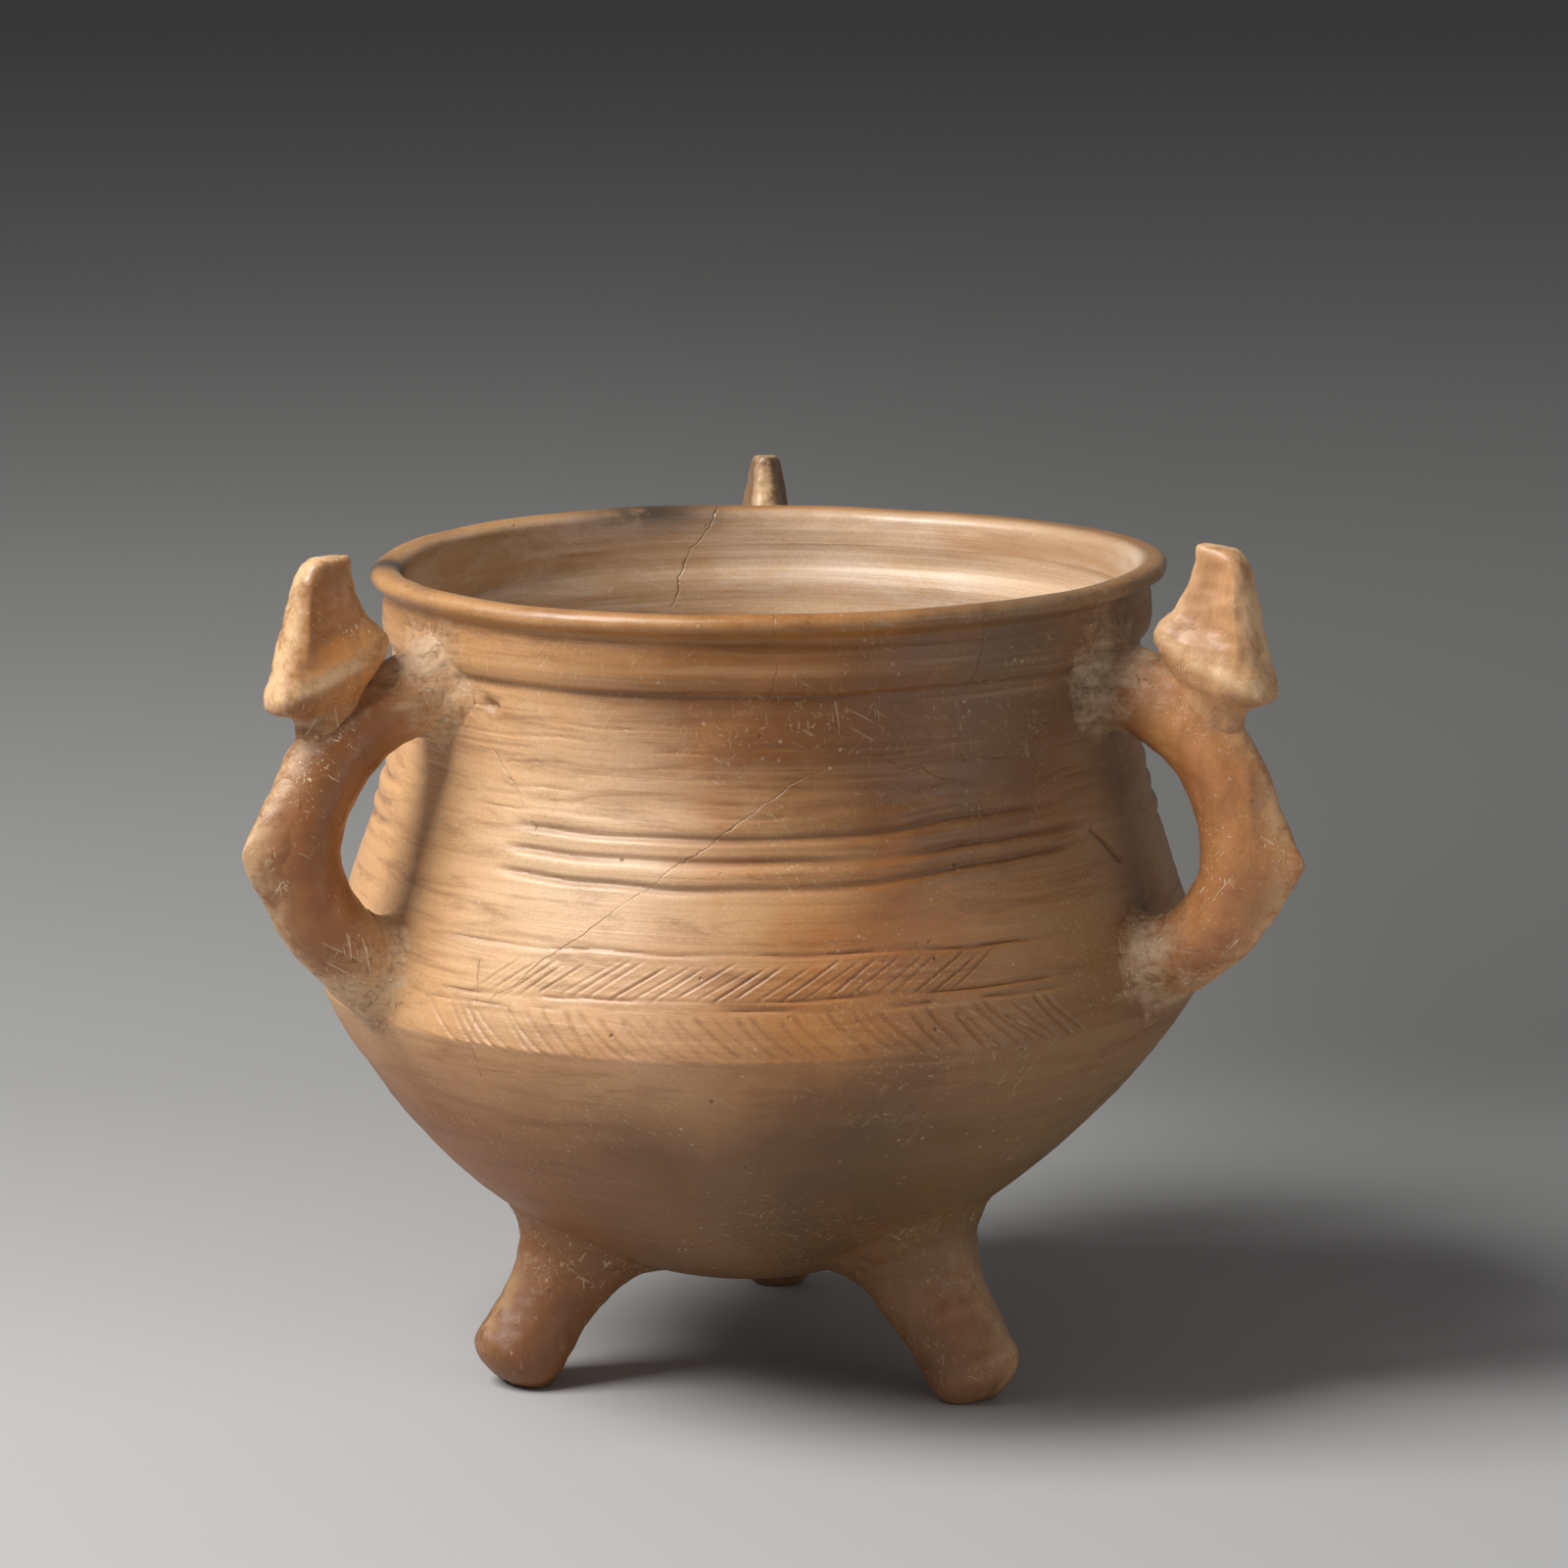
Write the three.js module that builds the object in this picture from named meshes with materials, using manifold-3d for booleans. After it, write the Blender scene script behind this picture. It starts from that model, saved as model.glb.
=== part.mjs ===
// A hand-built earthenware pot on three legs, with three looped handles that each carry a crest.
// Millimetres, +Z up. Every piece of clay that the potter joined is its own mesh.
import * as THREE from "three";
import { mergeVertices } from "three/addons/utils/BufferGeometryUtils.js";
import Module from "manifold-3d";

const wasm = await Module();
wasm.setup();

// Fits
const SEAM = 0.3; // clearance between two joined pieces of clay
const ROUND_STEPS = 40; // facets round the pot
const LIMB_STEPS = 12; // facets round a leg, a handle or a crest
const ROOT_STEPS = 200; // steps in which a limb's root is looked for
const WALL_STEP = 13; // height of a facet up the wall
const BELLY_RISES = [1, 5, 12, 22, 36, 54, 74]; // heights of the belly's rows above its underside

// Body of the pot
const BELLY_BOTTOM = 30; // underside of the belly above the ground
const BELLY_DEPTH = 103; // from there up to the keel
const UPPER_WALL = 138.2; // from the keel up to the mouth
const SHOULDER_BAND = 43; // from the keel up to the seam over the drawn band
const KEEL_RADIUS = 147; // widest turn
const BELLY_FULLNESS = 1.17; // 1 is a cone-like belly, 2 a round one
const NECK_RADIUS = 123.8; // narrowest turn
const NECK_BELOW_COLLAR = 24;
const SHOULDER_PULL = 21; // how far up the wall leaves the keel before it turns in
const SHOULDER_TURN = 3.2; // how far in it has turned by then
const NECK_PULL = 24; // how far down the wall stays upright under the neck
const WALL = 7; // thickness of the clay
const LAP = 3.5; // slope of a lapped seam through the wall
const KEEL_HEIGHT = BELLY_BOTTOM + BELLY_DEPTH;
const MOUTH_HEIGHT = KEEL_HEIGHT + UPPER_WALL;

// Collar and lip
const COLLAR_DEPTH = 25.2; // from the mouth down to the collar's lower edge
const COLLAR_SWELL = 3.7; // how far the collar stands out past the neck
const COLLAR_FOOT = 1.3; // the same at the collar's lower edge
const COLLAR_BULGE_RISE = 6.5; // height of its fullest turn above its lower edge
const COLLAR_HOLLOW = 0.8; // depth of the hollow under the lip
const LIP_DEPTH = 7.7; // from the mouth down to the seam under the lip
const LIP_SWELL = 7.4; // how far the lip stands out past the neck
const LIP_FALL = 3.6; // from the mouth down to where the lip is widest
const LIP_TURN = 3; // how far the lip's edge is rolled in

// Seams between the coils, as heights on the outside
const BELLY_SEAM = KEEL_HEIGHT - 3;
const NECK_SEAM = KEEL_HEIGHT + SHOULDER_BAND;
const COLLAR_SEAM = MOUTH_HEIGHT - COLLAR_DEPTH;
const LIP_SEAM = MOUTH_HEIGHT - LIP_DEPTH;
const NECK_HEIGHT = COLLAR_SEAM - NECK_BELOW_COLLAR;
const LIP_HEIGHT = MOUTH_HEIGHT - LIP_FALL;

// Lines drawn round the wall
const RILL_RISES = [9.7, 18.4, 25.3]; // above the seam under the neck
const RILL_HEIGHTS = RILL_RISES.map((rise) => NECK_SEAM + rise);
const RILL_DEPTH = 1.2;
const RILL_HALF_WIDTH = 1.6;
const BAND_LINE_RISES = [15.4, 18.5, 32.6]; // above the keel
const BAND_LINE_HEIGHTS = BAND_LINE_RISES.map((rise) => KEEL_HEIGHT + rise);
const BAND_LINE_DEPTH = 0.7;
const BAND_LINE_HALF_WIDTH = 0.9;

// The pot isn't true: its mouth lies to one side and tilts, and its belly sags
const MOUTH_DRIFT = 4.1;
const MOUTH_TILT = 1.6;
const BELLY_SAG = 4.5;

// Legs
const LEG_COUNT = 3;
const LEG_FIRST_ANGLE = 83.5;
const LEG_HALF_DEPTH = 15.3; // seen from the side
const LEG_HALF_WIDTH = 16.2; // seen from the front
const LEG_ROOT_INSET = 90; // middle of the leg inside the belly, in from the keel
const LEG_ROOT_RISE = 30; // the same point above the belly's underside
const LEG_BEND_INSET = 76; // where the leg bends outwards, in from the keel
const FOOT_INSET = 52; // tip of the foot, in from the keel
const FOOT_LIFT = 1.8; // tip of the foot above the ground, before the sole is worn flat
const LEG_ROOT_FLARE = 14; // how much thicker the leg is where it leaves the belly
const FOOT_ROUNDING = 7; // length of the foot's rounded end
const LEG_EXTRA_REACH = [12, -2.5, 1.5]; // the back leg is splayed out furthest
const LEG_EXTRA_TURN = [2, 0, 0]; // degrees by which it stands off its third of the turn
const LEG_THINNING = [4.5, 0.6, 0]; // and it is the slimmest

// Handles
const HANDLE_COUNT = 3;
const HANDLE_FIRST_ANGLE = 90.5;
const HANDLE_HALF_DEPTH = 14.2; // seen from the side
const HANDLE_HALF_WIDTH = 12.6; // seen from the front
const HANDLE_STAND_OFF = 25.4; // middle of the clay at the elbow, out from the keel
const HANDLE_EXTRA_REACH = [0, 0, 3.4]; // the right handle is pulled out further
const HANDLE_EXTRA_BELLY = [0, 0, 2.2]; // and its lower half bulges
const HANDLE_REACH = KEEL_RADIUS + HANDLE_STAND_OFF;
const HANDLE_TOP_HEIGHT = COLLAR_SEAM - 9;
const HANDLE_FOOT_HEIGHT = KEEL_HEIGHT + 16;
const ELBOW_HEIGHT = HANDLE_FOOT_HEIGHT + 0.466 * (HANDLE_TOP_HEIGHT - HANDLE_FOOT_HEIGHT);
const HANDLE_ROOT_FLARE = 3;
const HANDLE_FOOT_BURY = 14; // how far the handle's foot runs in past the keel's radius
const HANDLE_FOOT_DROP = 7; // and how far down

// Crest on a handle
const CREST_ABOVE_MOUTH = 14.4;
const CREST_STALK_HALF_LENGTH = 12;
const CREST_STALK_HALF_WIDTH = 8.5;
const FLANGE_RISE = 10.5; // middle of the flange's edge above the handle's top
const FLANGE_HALF_LENGTH = 23;
const FLANGE_HALF_WIDTH = 12;
const FLANGE_SLOPE = -0.4; // the flange falls outwards
const CREST_HALF_LENGTH = 11.5; // of the blade, near its top
const CREST_HALF_WIDTH = 4;
const CREST_SETBACK = 7.8; // middle of the crest, in from the middle of the elbow
const CREST_LEAN = 3.5; // how far in the foot of its stalk stands
const STALK_LENGTH = 21; // from the flange down, most of it in the handle
const FLANGE_ROUNDING = 1.4;
const CREST_TOP = MOUTH_HEIGHT + CREST_ABOVE_MOUTH;
const FLANGE_HEIGHT = HANDLE_TOP_HEIGHT + FLANGE_RISE;

// Spur on a handle's elbow
const SPUR_LENGTH = 6.8; // out past the handle's face
const SPUR_RADIUS = 11;
const SPUR_TIP_RADIUS = 2.2;

// Clay smeared round a root
const LUTING_THICKNESS = 4.5; // at the wall
const LUTING_EDGE = 1.3; // at its far edge
const LUTING_LENGTH = 11;

const CLAY = { sunlit: 0xc98a58, burnt: 0xa66a40, dark: 0x8c5f40, pale: 0xcfa57c };

// Radius of the outside at a height, without the drawn lines
function plainRadius(height) {
  if (height <= KEEL_HEIGHT) {
    const drop = Math.min(1, (KEEL_HEIGHT - height) / (KEEL_HEIGHT - BELLY_BOTTOM));
    return KEEL_RADIUS * Math.sqrt(1 - drop ** BELLY_FULLNESS);
  }
  if (height <= NECK_HEIGHT) {
    return radiusOn(shoulderCurve, height);
  }
  return radiusOn(collarCurve, height);
}

const shoulderCurve = new THREE.CubicBezierCurve(
  new THREE.Vector2(KEEL_RADIUS, KEEL_HEIGHT),
  new THREE.Vector2(KEEL_RADIUS - SHOULDER_TURN, KEEL_HEIGHT + SHOULDER_PULL),
  new THREE.Vector2(NECK_RADIUS, NECK_HEIGHT - NECK_PULL),
  new THREE.Vector2(NECK_RADIUS, NECK_HEIGHT),
).getPoints(80);

const collarCurve = [
  [0, NECK_HEIGHT],
  [COLLAR_FOOT / 2, COLLAR_SEAM - 3],
  [COLLAR_FOOT, COLLAR_SEAM],
  [COLLAR_SWELL, COLLAR_SEAM + COLLAR_BULGE_RISE],
  [COLLAR_SWELL - COLLAR_HOLLOW, LIP_SEAM - 1],
  [LIP_SWELL - LIP_TURN / 3, LIP_HEIGHT - 2],
  [LIP_SWELL, LIP_HEIGHT],
  [LIP_SWELL - LIP_TURN / 2, MOUTH_HEIGHT - 0.7],
].map(([swell, height]) => new THREE.Vector2(NECK_RADIUS + swell, height));

function radiusOn(curve, height) {
  const next = curve.findIndex((point) => point.y >= height);
  if (next < 1) {
    return curve[next === 0 ? 0 : curve.length - 1].x;
  }
  const low = curve[next - 1];
  const high = curve[next];
  return low.x + ((high.x - low.x) * (height - low.y)) / (high.y - low.y);
}

// Depth of the drawn lines at a height
function lineDepth(height) {
  const rill = RILL_HEIGHTS.some((line) => Math.abs(line - height) < 0.01);
  const bandLine = BAND_LINE_HEIGHTS.some((line) => Math.abs(line - height) < 0.01);
  return rill ? RILL_DEPTH : bandLine ? BAND_LINE_DEPTH : 0;
}

// Heights at which the outside needs a point, between two seams
function outsideHeights(low, high, step) {
  const count = Math.max(1, Math.round((high - low) / step));
  const regular = Array.from({ length: count + 1 }, (_, i) => low + ((high - low) * i) / count);
  const rills = RILL_HEIGHTS.flatMap((at) => [at - RILL_HALF_WIDTH, at, at + RILL_HALF_WIDTH]);
  const bandLines = BAND_LINE_HEIGHTS.flatMap((at) => [
    at - BAND_LINE_HALF_WIDTH,
    at,
    at + BAND_LINE_HALF_WIDTH,
  ]);
  const collar = collarCurve.map((point) => point.y);
  const special = [...rills, ...bandLines, ...collar, KEEL_HEIGHT].filter((at) => at > low && at < high);
  const isFree = (at) => at === low || at === high || special.every((s) => Math.abs(s - at) > 2);
  const kept = regular.filter(isFree);
  return [...kept, ...special].sort((a, b) => a - b);
}

// Point on the inside, square to the outside at a height
function insidePoint(height) {
  const step = 0.5;
  const slope = (plainRadius(height + step) - plainRadius(height - step)) / (2 * step);
  const across = WALL / Math.hypot(1, slope);
  return new THREE.Vector2(plainRadius(height) - across, height + across * slope);
}

// The wall leans and sags, and every piece on it goes along
function settle(geometry, sags = false) {
  const position = geometry.getAttribute("position");
  for (let i = 0; i < position.count; i += 1) {
    const x = position.getX(i);
    const z = position.getZ(i);
    const rise = z / MOUTH_HEIGHT;
    const sag = sags ? BELLY_SAG * Math.max(0, 1 - z / KEEL_HEIGHT) * 2 : 0;
    position.setX(i, x + MOUTH_DRIFT * rise - Math.min(sag, BELLY_SAG));
    position.setZ(i, z + (MOUTH_TILT * rise * x) / KEEL_RADIUS);
  }
  return geometry;
}

function turned(profile) {
  const lathe = new THREE.LatheGeometry(profile, ROUND_STEPS);
  lathe.rotateX(Math.PI / 2);
  return settle(lathe, true);
}

// One coil of the wall between two seams on the outside
function wallBand(low, high, step) {
  const outside = outsideHeights(low + SEAM / 2, high - SEAM / 2, step);
  const outer = outside.map((at) => new THREE.Vector2(plainRadius(at) - lineDepth(at), at));
  const insideSteps = Math.max(1, Math.round((high - low) / (1.8 * step)));
  const inner = Array.from({ length: insideSteps + 1 }, (_, i) => {
    const at = high - SEAM / 2 - LAP - ((high - low - SEAM) * i) / insideSteps;
    return insidePoint(at);
  });
  return turned([...outer, ...inner, outer[0].clone()]);
}

// The round base, closed in the middle
function bellyShell() {
  const levels = BELLY_RISES.map((rise) => BELLY_BOTTOM + rise).filter((at) => at < BELLY_SEAM - 10);
  const outer = levels.map((at) => new THREE.Vector2(plainRadius(at), at));
  const seam = BELLY_SEAM - SEAM / 2;
  const inner = levels.slice(1, -1).map((at) => insidePoint(at));
  return turned([
    new THREE.Vector2(0, BELLY_BOTTOM),
    ...outer,
    new THREE.Vector2(plainRadius(seam), seam),
    insidePoint(seam - LAP),
    ...inner.reverse(),
    new THREE.Vector2(0, BELLY_BOTTOM + WALL),
  ]);
}

// The lip is rolled over the collar
function lipCoil() {
  const seam = LIP_SEAM + SEAM / 2;
  const inside = NECK_RADIUS + COLLAR_SWELL - WALL;
  return turned([
    new THREE.Vector2(plainRadius(seam), seam),
    new THREE.Vector2(plainRadius(LIP_HEIGHT - 2), LIP_HEIGHT - 2),
    new THREE.Vector2(plainRadius(LIP_HEIGHT), LIP_HEIGHT),
    new THREE.Vector2(plainRadius(MOUTH_HEIGHT - 0.7), MOUTH_HEIGHT - 0.7),
    new THREE.Vector2(NECK_RADIUS + LIP_SWELL - LIP_TURN, MOUTH_HEIGHT),
    new THREE.Vector2(inside + 1.6, MOUTH_HEIGHT - 0.8),
    new THREE.Vector2(inside, LIP_HEIGHT - 1),
    new THREE.Vector2(inside, seam - LAP),
    new THREE.Vector2(plainRadius(seam), seam),
  ]);
}

// The whole pot without its hollow, grown on all sides, to shape what is joined to it
function solidPot(growth) {
  const levels = BELLY_RISES.map((rise) => BELLY_BOTTOM + rise).filter((at) => at < BELLY_SEAM - 10);
  const upper = outsideHeights(BELLY_SEAM - 8, MOUTH_HEIGHT - 0.7, WALL_STEP);
  const outer = [...levels, ...upper].map((at) => {
    const slope = (plainRadius(at + 0.4) - plainRadius(at - 0.4)) / 0.8;
    const across = growth / Math.hypot(1, slope);
    return new THREE.Vector2(plainRadius(at) + across, at - across * slope);
  });
  const rising = outer.filter((point, i) => i === 0 || point.y > outer[i - 1].y + 0.05);
  return turned([
    new THREE.Vector2(0, BELLY_BOTTOM - growth),
    ...rising,
    new THREE.Vector2(0, MOUTH_HEIGHT + growth),
  ]);
}

// A limb of clay: oval sections along a path in the plane through the pot's axis
function limb(sections) {
  const corners = [];
  const faces = [];
  for (const { at, across, halfDepth, halfWidth } of sections) {
    for (let i = 0; i < LIMB_STEPS; i += 1) {
      const angle = (2 * Math.PI * i) / LIMB_STEPS;
      const depth = halfDepth * Math.cos(angle);
      corners.push(at.x + across.x * depth, halfWidth * Math.sin(angle), at.y + across.y * depth);
    }
  }
  const last = sections.length - 1;
  corners.push(sections[0].at.x, 0, sections[0].at.y);
  corners.push(sections[last].at.x, 0, sections[last].at.y);
  const firstMiddle = sections.length * LIMB_STEPS;
  for (let i = 0; i < LIMB_STEPS; i += 1) {
    const next = (i + 1) % LIMB_STEPS;
    faces.push(firstMiddle, i, next);
    faces.push(firstMiddle + 1, last * LIMB_STEPS + next, last * LIMB_STEPS + i);
    for (let row = 0; row < last; row += 1) {
      const low = row * LIMB_STEPS;
      const high = low + LIMB_STEPS;
      faces.push(low + i, high + i, high + next);
      faces.push(low + i, high + next, low + next);
    }
  }
  const geometry = new THREE.BufferGeometry();
  geometry.setAttribute("position", new THREE.Float32BufferAttribute(corners, 3));
  geometry.setIndex(faces);
  return geometry;
}

// Sections square to a curve, from one share of its length to another
function along(curve, from, to, steps, depthAt, widthAt) {
  return Array.from({ length: steps + 1 }, (_, i) => {
    const share = from + ((to - from) * i) / steps;
    const tangent = curve.getTangentAt(share);
    return {
      at: curve.getPointAt(share),
      across: new THREE.Vector2(-tangent.y, tangent.x),
      halfDepth: depthAt(share),
      halfWidth: widthAt(share),
    };
  });
}

function toManifold(geometry) {
  const bare = new THREE.BufferGeometry();
  bare.setAttribute("position", geometry.getAttribute("position").clone());
  bare.setIndex(geometry.getIndex());
  const merged = mergeVertices(bare, 1e-4);
  const index = merged.getIndex().array;
  const triangles = [];
  for (let i = 0; i < index.length; i += 3) {
    const [a, b, c] = [index[i], index[i + 1], index[i + 2]];
    if (a !== b && b !== c && c !== a) {
      triangles.push(a, b, c);
    }
  }
  return new wasm.Manifold(
    new wasm.Mesh({
      numProp: 3,
      vertProperties: new Float32Array(merged.getAttribute("position").array),
      triVerts: new Uint32Array(triangles),
    }),
  );
}

function toGeometry(solid) {
  const mesh = solid.getMesh();
  const geometry = new THREE.BufferGeometry();
  geometry.setAttribute("position", new THREE.BufferAttribute(mesh.vertProperties, 3));
  geometry.setIndex(new THREE.BufferAttribute(mesh.triVerts, 1));
  geometry.computeVertexNormals();
  return geometry;
}

// Turn a limb round the pot's axis, then let it settle with the wall
function placed(geometry, degrees) {
  return toManifold(settle(geometry.rotateZ(THREE.MathUtils.degToRad(degrees))));
}

const group = new THREE.Group();
const pieces = new THREE.Group();
group.add(pieces);

function addPiece(name, geometry, color, roughness) {
  const material = new THREE.MeshStandardMaterial({ color, roughness, metalness: 0 });
  const mesh = new THREE.Mesh(geometry, material);
  mesh.name = name;
  pieces.add(mesh);
}

// Wall
addPiece("base_bowl", bellyShell(), CLAY.dark, 0.62);
addPiece("shoulder_wall", wallBand(BELLY_SEAM, NECK_SEAM, WALL_STEP), CLAY.sunlit, 0.5);
addPiece("neck_wall", wallBand(NECK_SEAM, COLLAR_SEAM, WALL_STEP), CLAY.sunlit, 0.5);
addPiece("collar_band", wallBand(COLLAR_SEAM, LIP_SEAM, WALL_STEP), CLAY.sunlit, 0.5);
addPiece("lip_coil", lipCoil(), CLAY.burnt, 0.5);

const potWithSeam = toManifold(solidPot(SEAM));

// Legs
function legCurve(extra) {
  return new THREE.QuadraticBezierCurve(
    new THREE.Vector2(KEEL_RADIUS - LEG_ROOT_INSET, BELLY_BOTTOM + LEG_ROOT_RISE),
    new THREE.Vector2(KEEL_RADIUS - LEG_BEND_INSET, BELLY_BOTTOM),
    new THREE.Vector2(KEEL_RADIUS - FOOT_INSET + extra, FOOT_LIFT),
  );
}

// Half of a leg's size across, at a share of its length
function legHalf(length, half, share, growth) {
  const toTip = (1 - share) * length;
  const round = Math.max(0, 1 - toTip / FOOT_ROUNDING) ** 2.4;
  const flare = LEG_ROOT_FLARE * Math.max(0, 1 - share * 1.5) ** 2;
  return (half + flare) * Math.max(0.04, 1 - round) ** 0.46 + growth;
}

// Sections of a leg, grown on all sides by a size that may change along it
function legSections(curve, thinning, from, to, steps, growthAt) {
  const length = curve.getLength();
  return along(
    curve,
    from,
    to,
    steps,
    (share) => legHalf(length, LEG_HALF_DEPTH - thinning, share, growthAt(share)),
    (share) => legHalf(length, LEG_HALF_WIDTH - thinning, share, growthAt(share)),
  );
}

function leg(curve, thinning, growth) {
  const shank = 1 - FOOT_ROUNDING / curve.getLength();
  const steady = () => growth;
  return limb([
    ...legSections(curve, thinning, 0, shank, 4, steady),
    ...legSections(curve, thinning, shank + 0.05, 1, 5, steady),
  ]);
}

// Share of a leg's length at which its middle line leaves the belly
function legRootShare(curve) {
  const shares = Array.from({ length: ROOT_STEPS }, (_, i) => i / ROOT_STEPS);
  return shares.find((share) => {
    const point = curve.getPointAt(share);
    return point.y < BELLY_BOTTOM || point.x > plainRadius(point.y);
  });
}

const ground = new THREE.BoxGeometry(4 * KEEL_RADIUS, 4 * KEEL_RADIUS, 40);
ground.translate(0, 0, -20);
const groundSolid = toManifold(ground);

for (let i = 0; i < LEG_COUNT; i += 1) {
  const side = ["back", "left", "right"][i];
  const angle = LEG_FIRST_ANGLE + (360 / LEG_COUNT) * i + LEG_EXTRA_TURN[i];
  const curve = legCurve(LEG_EXTRA_REACH[i]);
  const thinning = LEG_THINNING[i];
  const solid = placed(leg(curve, thinning, 0), angle).subtract(potWithSeam).subtract(groundSolid);
  addPiece(`leg_${side}`, toGeometry(solid), CLAY.burnt, 0.6);
  const edge = legRootShare(curve) + LUTING_LENGTH / curve.getLength();
  const thickness = (share) => LUTING_THICKNESS + (LUTING_EDGE - LUTING_THICKNESS) * (share / edge);
  const luting = placed(limb(legSections(curve, thinning, 0, edge, 2, thickness)), angle);
  const legWithSeam = placed(leg(curve, thinning, SEAM), angle);
  const ring = luting.subtract(potWithSeam).subtract(legWithSeam);
  addPiece(`leg_luting_${side}`, toGeometry(ring), CLAY.pale, 0.8);
}

// Handles
function handleCurve(extra, belly) {
  const reach = HANDLE_REACH + extra;
  const top = HANDLE_TOP_HEIGHT;
  const foot = HANDLE_FOOT_HEIGHT;
  const upper = top - ELBOW_HEIGHT;
  const lower = ELBOW_HEIGHT - foot;
  const topOut = reach - NECK_RADIUS;
  const standOff = HANDLE_STAND_OFF;
  return new THREE.SplineCurve([
    new THREE.Vector2(NECK_RADIUS - WALL, top + 1),
    new THREE.Vector2(NECK_RADIUS + topOut * 0.21, top - 0.5),
    new THREE.Vector2(NECK_RADIUS + topOut * 0.53, top - upper * 0.17),
    new THREE.Vector2(NECK_RADIUS + topOut * 0.79, top - upper * 0.42),
    new THREE.Vector2(NECK_RADIUS + topOut * 0.94, top - upper * 0.7),
    new THREE.Vector2(reach, ELBOW_HEIGHT),
    new THREE.Vector2(reach - standOff * 0.11 + belly * 0.9, ELBOW_HEIGHT - lower * 0.34),
    new THREE.Vector2(reach - standOff * 0.366 + belly, ELBOW_HEIGHT - lower * 0.61),
    new THREE.Vector2(reach - standOff * 0.709 + belly * 0.6, ELBOW_HEIGHT - lower * 0.83),
    new THREE.Vector2(KEEL_RADIUS - 1, foot - 0.5),
    new THREE.Vector2(KEEL_RADIUS - HANDLE_FOOT_BURY, foot - HANDLE_FOOT_DROP),
  ]);
}

function handle(curve, growth) {
  const nearRoot = (share) => Math.max(0, 1 - share * 6) + Math.max(0, share * 6 - 5);
  const flare = (share) => HANDLE_ROOT_FLARE * nearRoot(share) ** 1.5;
  return limb(
    along(
      curve,
      0,
      1,
      16,
      (share) => HANDLE_HALF_DEPTH + flare(share) * 0.4 + growth,
      (share) => HANDLE_HALF_WIDTH + flare(share) + growth,
    ),
  );
}

// Clay round one root of a handle, thick at the wall and thin at its edge
function handleLuting(curve, from, to) {
  const thickness = (share) =>
    LUTING_THICKNESS + ((LUTING_EDGE - LUTING_THICKNESS) * (share - from)) / (to - from);
  const sections = along(
    curve,
    from,
    to,
    1,
    (share) => HANDLE_HALF_DEPTH + thickness(share),
    (share) => HANDLE_HALF_WIDTH + 1 + thickness(share),
  );
  return limb(from < to ? sections : sections.reverse());
}

// Share of a handle's length at which its middle line crosses the outside of the pot
function crossingShare(curve, fromTop) {
  const rising = Array.from({ length: ROOT_STEPS }, (_, i) => i / ROOT_STEPS);
  const shares = fromTop ? rising : rising.map((share) => 1 - share);
  return shares.find((share) => {
    const point = curve.getPointAt(share);
    return point.x > plainRadius(point.y);
  });
}

// A crest: a stalk, a flange that falls outwards and a blade, grown on all sides
function crest(middle, growth) {
  const tilt = new THREE.Vector2(-1, -FLANGE_SLOPE).normalize();
  const soft = new THREE.Vector2(-1, -FLANGE_SLOPE / 2).normalize();
  const level = new THREE.Vector2(-1, 0);
  const blade = CREST_TOP - FLANGE_HEIGHT;
  const wide = FLANGE_HALF_LENGTH;
  const broad = FLANGE_HALF_WIDTH;
  const edge = FLANGE_ROUNDING;
  const length = CREST_HALF_LENGTH;
  const width = CREST_HALF_WIDTH;
  const section = (lean, up, across, halfDepth, halfWidth) => ({
    at: new THREE.Vector2(middle - CREST_LEAN * lean, up),
    across,
    halfDepth: halfDepth + growth,
    halfWidth: halfWidth + growth,
  });
  const below = (share) => FLANGE_HEIGHT - STALK_LENGTH * share - growth;
  const above = (share) => FLANGE_HEIGHT + blade * share + growth;
  const stalk = [CREST_STALK_HALF_LENGTH, CREST_STALK_HALF_WIDTH];
  return limb([
    section(1, below(1), tilt, ...stalk),
    section(0.86, below(0.62), tilt, ...stalk),
    section(0.43, below(0.33), tilt, (stalk[0] + wide) / 2, (stalk[1] + broad) / 2),
    section(0.14, below(0.12), tilt, wide - edge * 0.7, broad - edge * 0.5),
    section(0.14, FLANGE_HEIGHT, tilt, wide, broad),
    section(0.09, above(0.08), tilt, wide - edge, broad - edge),
    section(0.06, above(0.28), tilt, length * 1.48, width * 2.25),
    section(0, above(0.5), tilt, length * 1.17, width * 1.85),
    section(0, above(0.75), soft, length, width * 1.4),
    section(0.23, above(0.92), soft, length * 0.83, width),
    section(0.71, above(1) - 0.5, level, length * 0.52, width * 0.65),
  ]);
}

// A spur: a blunt cone pressed onto the elbow
function spur(curve, reach) {
  const face = reach + HANDLE_HALF_DEPTH;
  const tip = face + SPUR_LENGTH;
  const upright = new THREE.Vector2(0, 1);
  const section = (out, half) => ({
    at: new THREE.Vector2(out, ELBOW_HEIGHT),
    across: upright,
    halfDepth: half,
    halfWidth: half * 0.85,
  });
  return limb([
    section(face - 7, SPUR_RADIUS),
    section(face - 2.5, SPUR_RADIUS * 0.9),
    section(face + SPUR_LENGTH * 0.4, SPUR_RADIUS * 0.5),
    section(tip - 1.2, SPUR_TIP_RADIUS),
    section(tip, SPUR_TIP_RADIUS * 0.45),
  ]);
}

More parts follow.
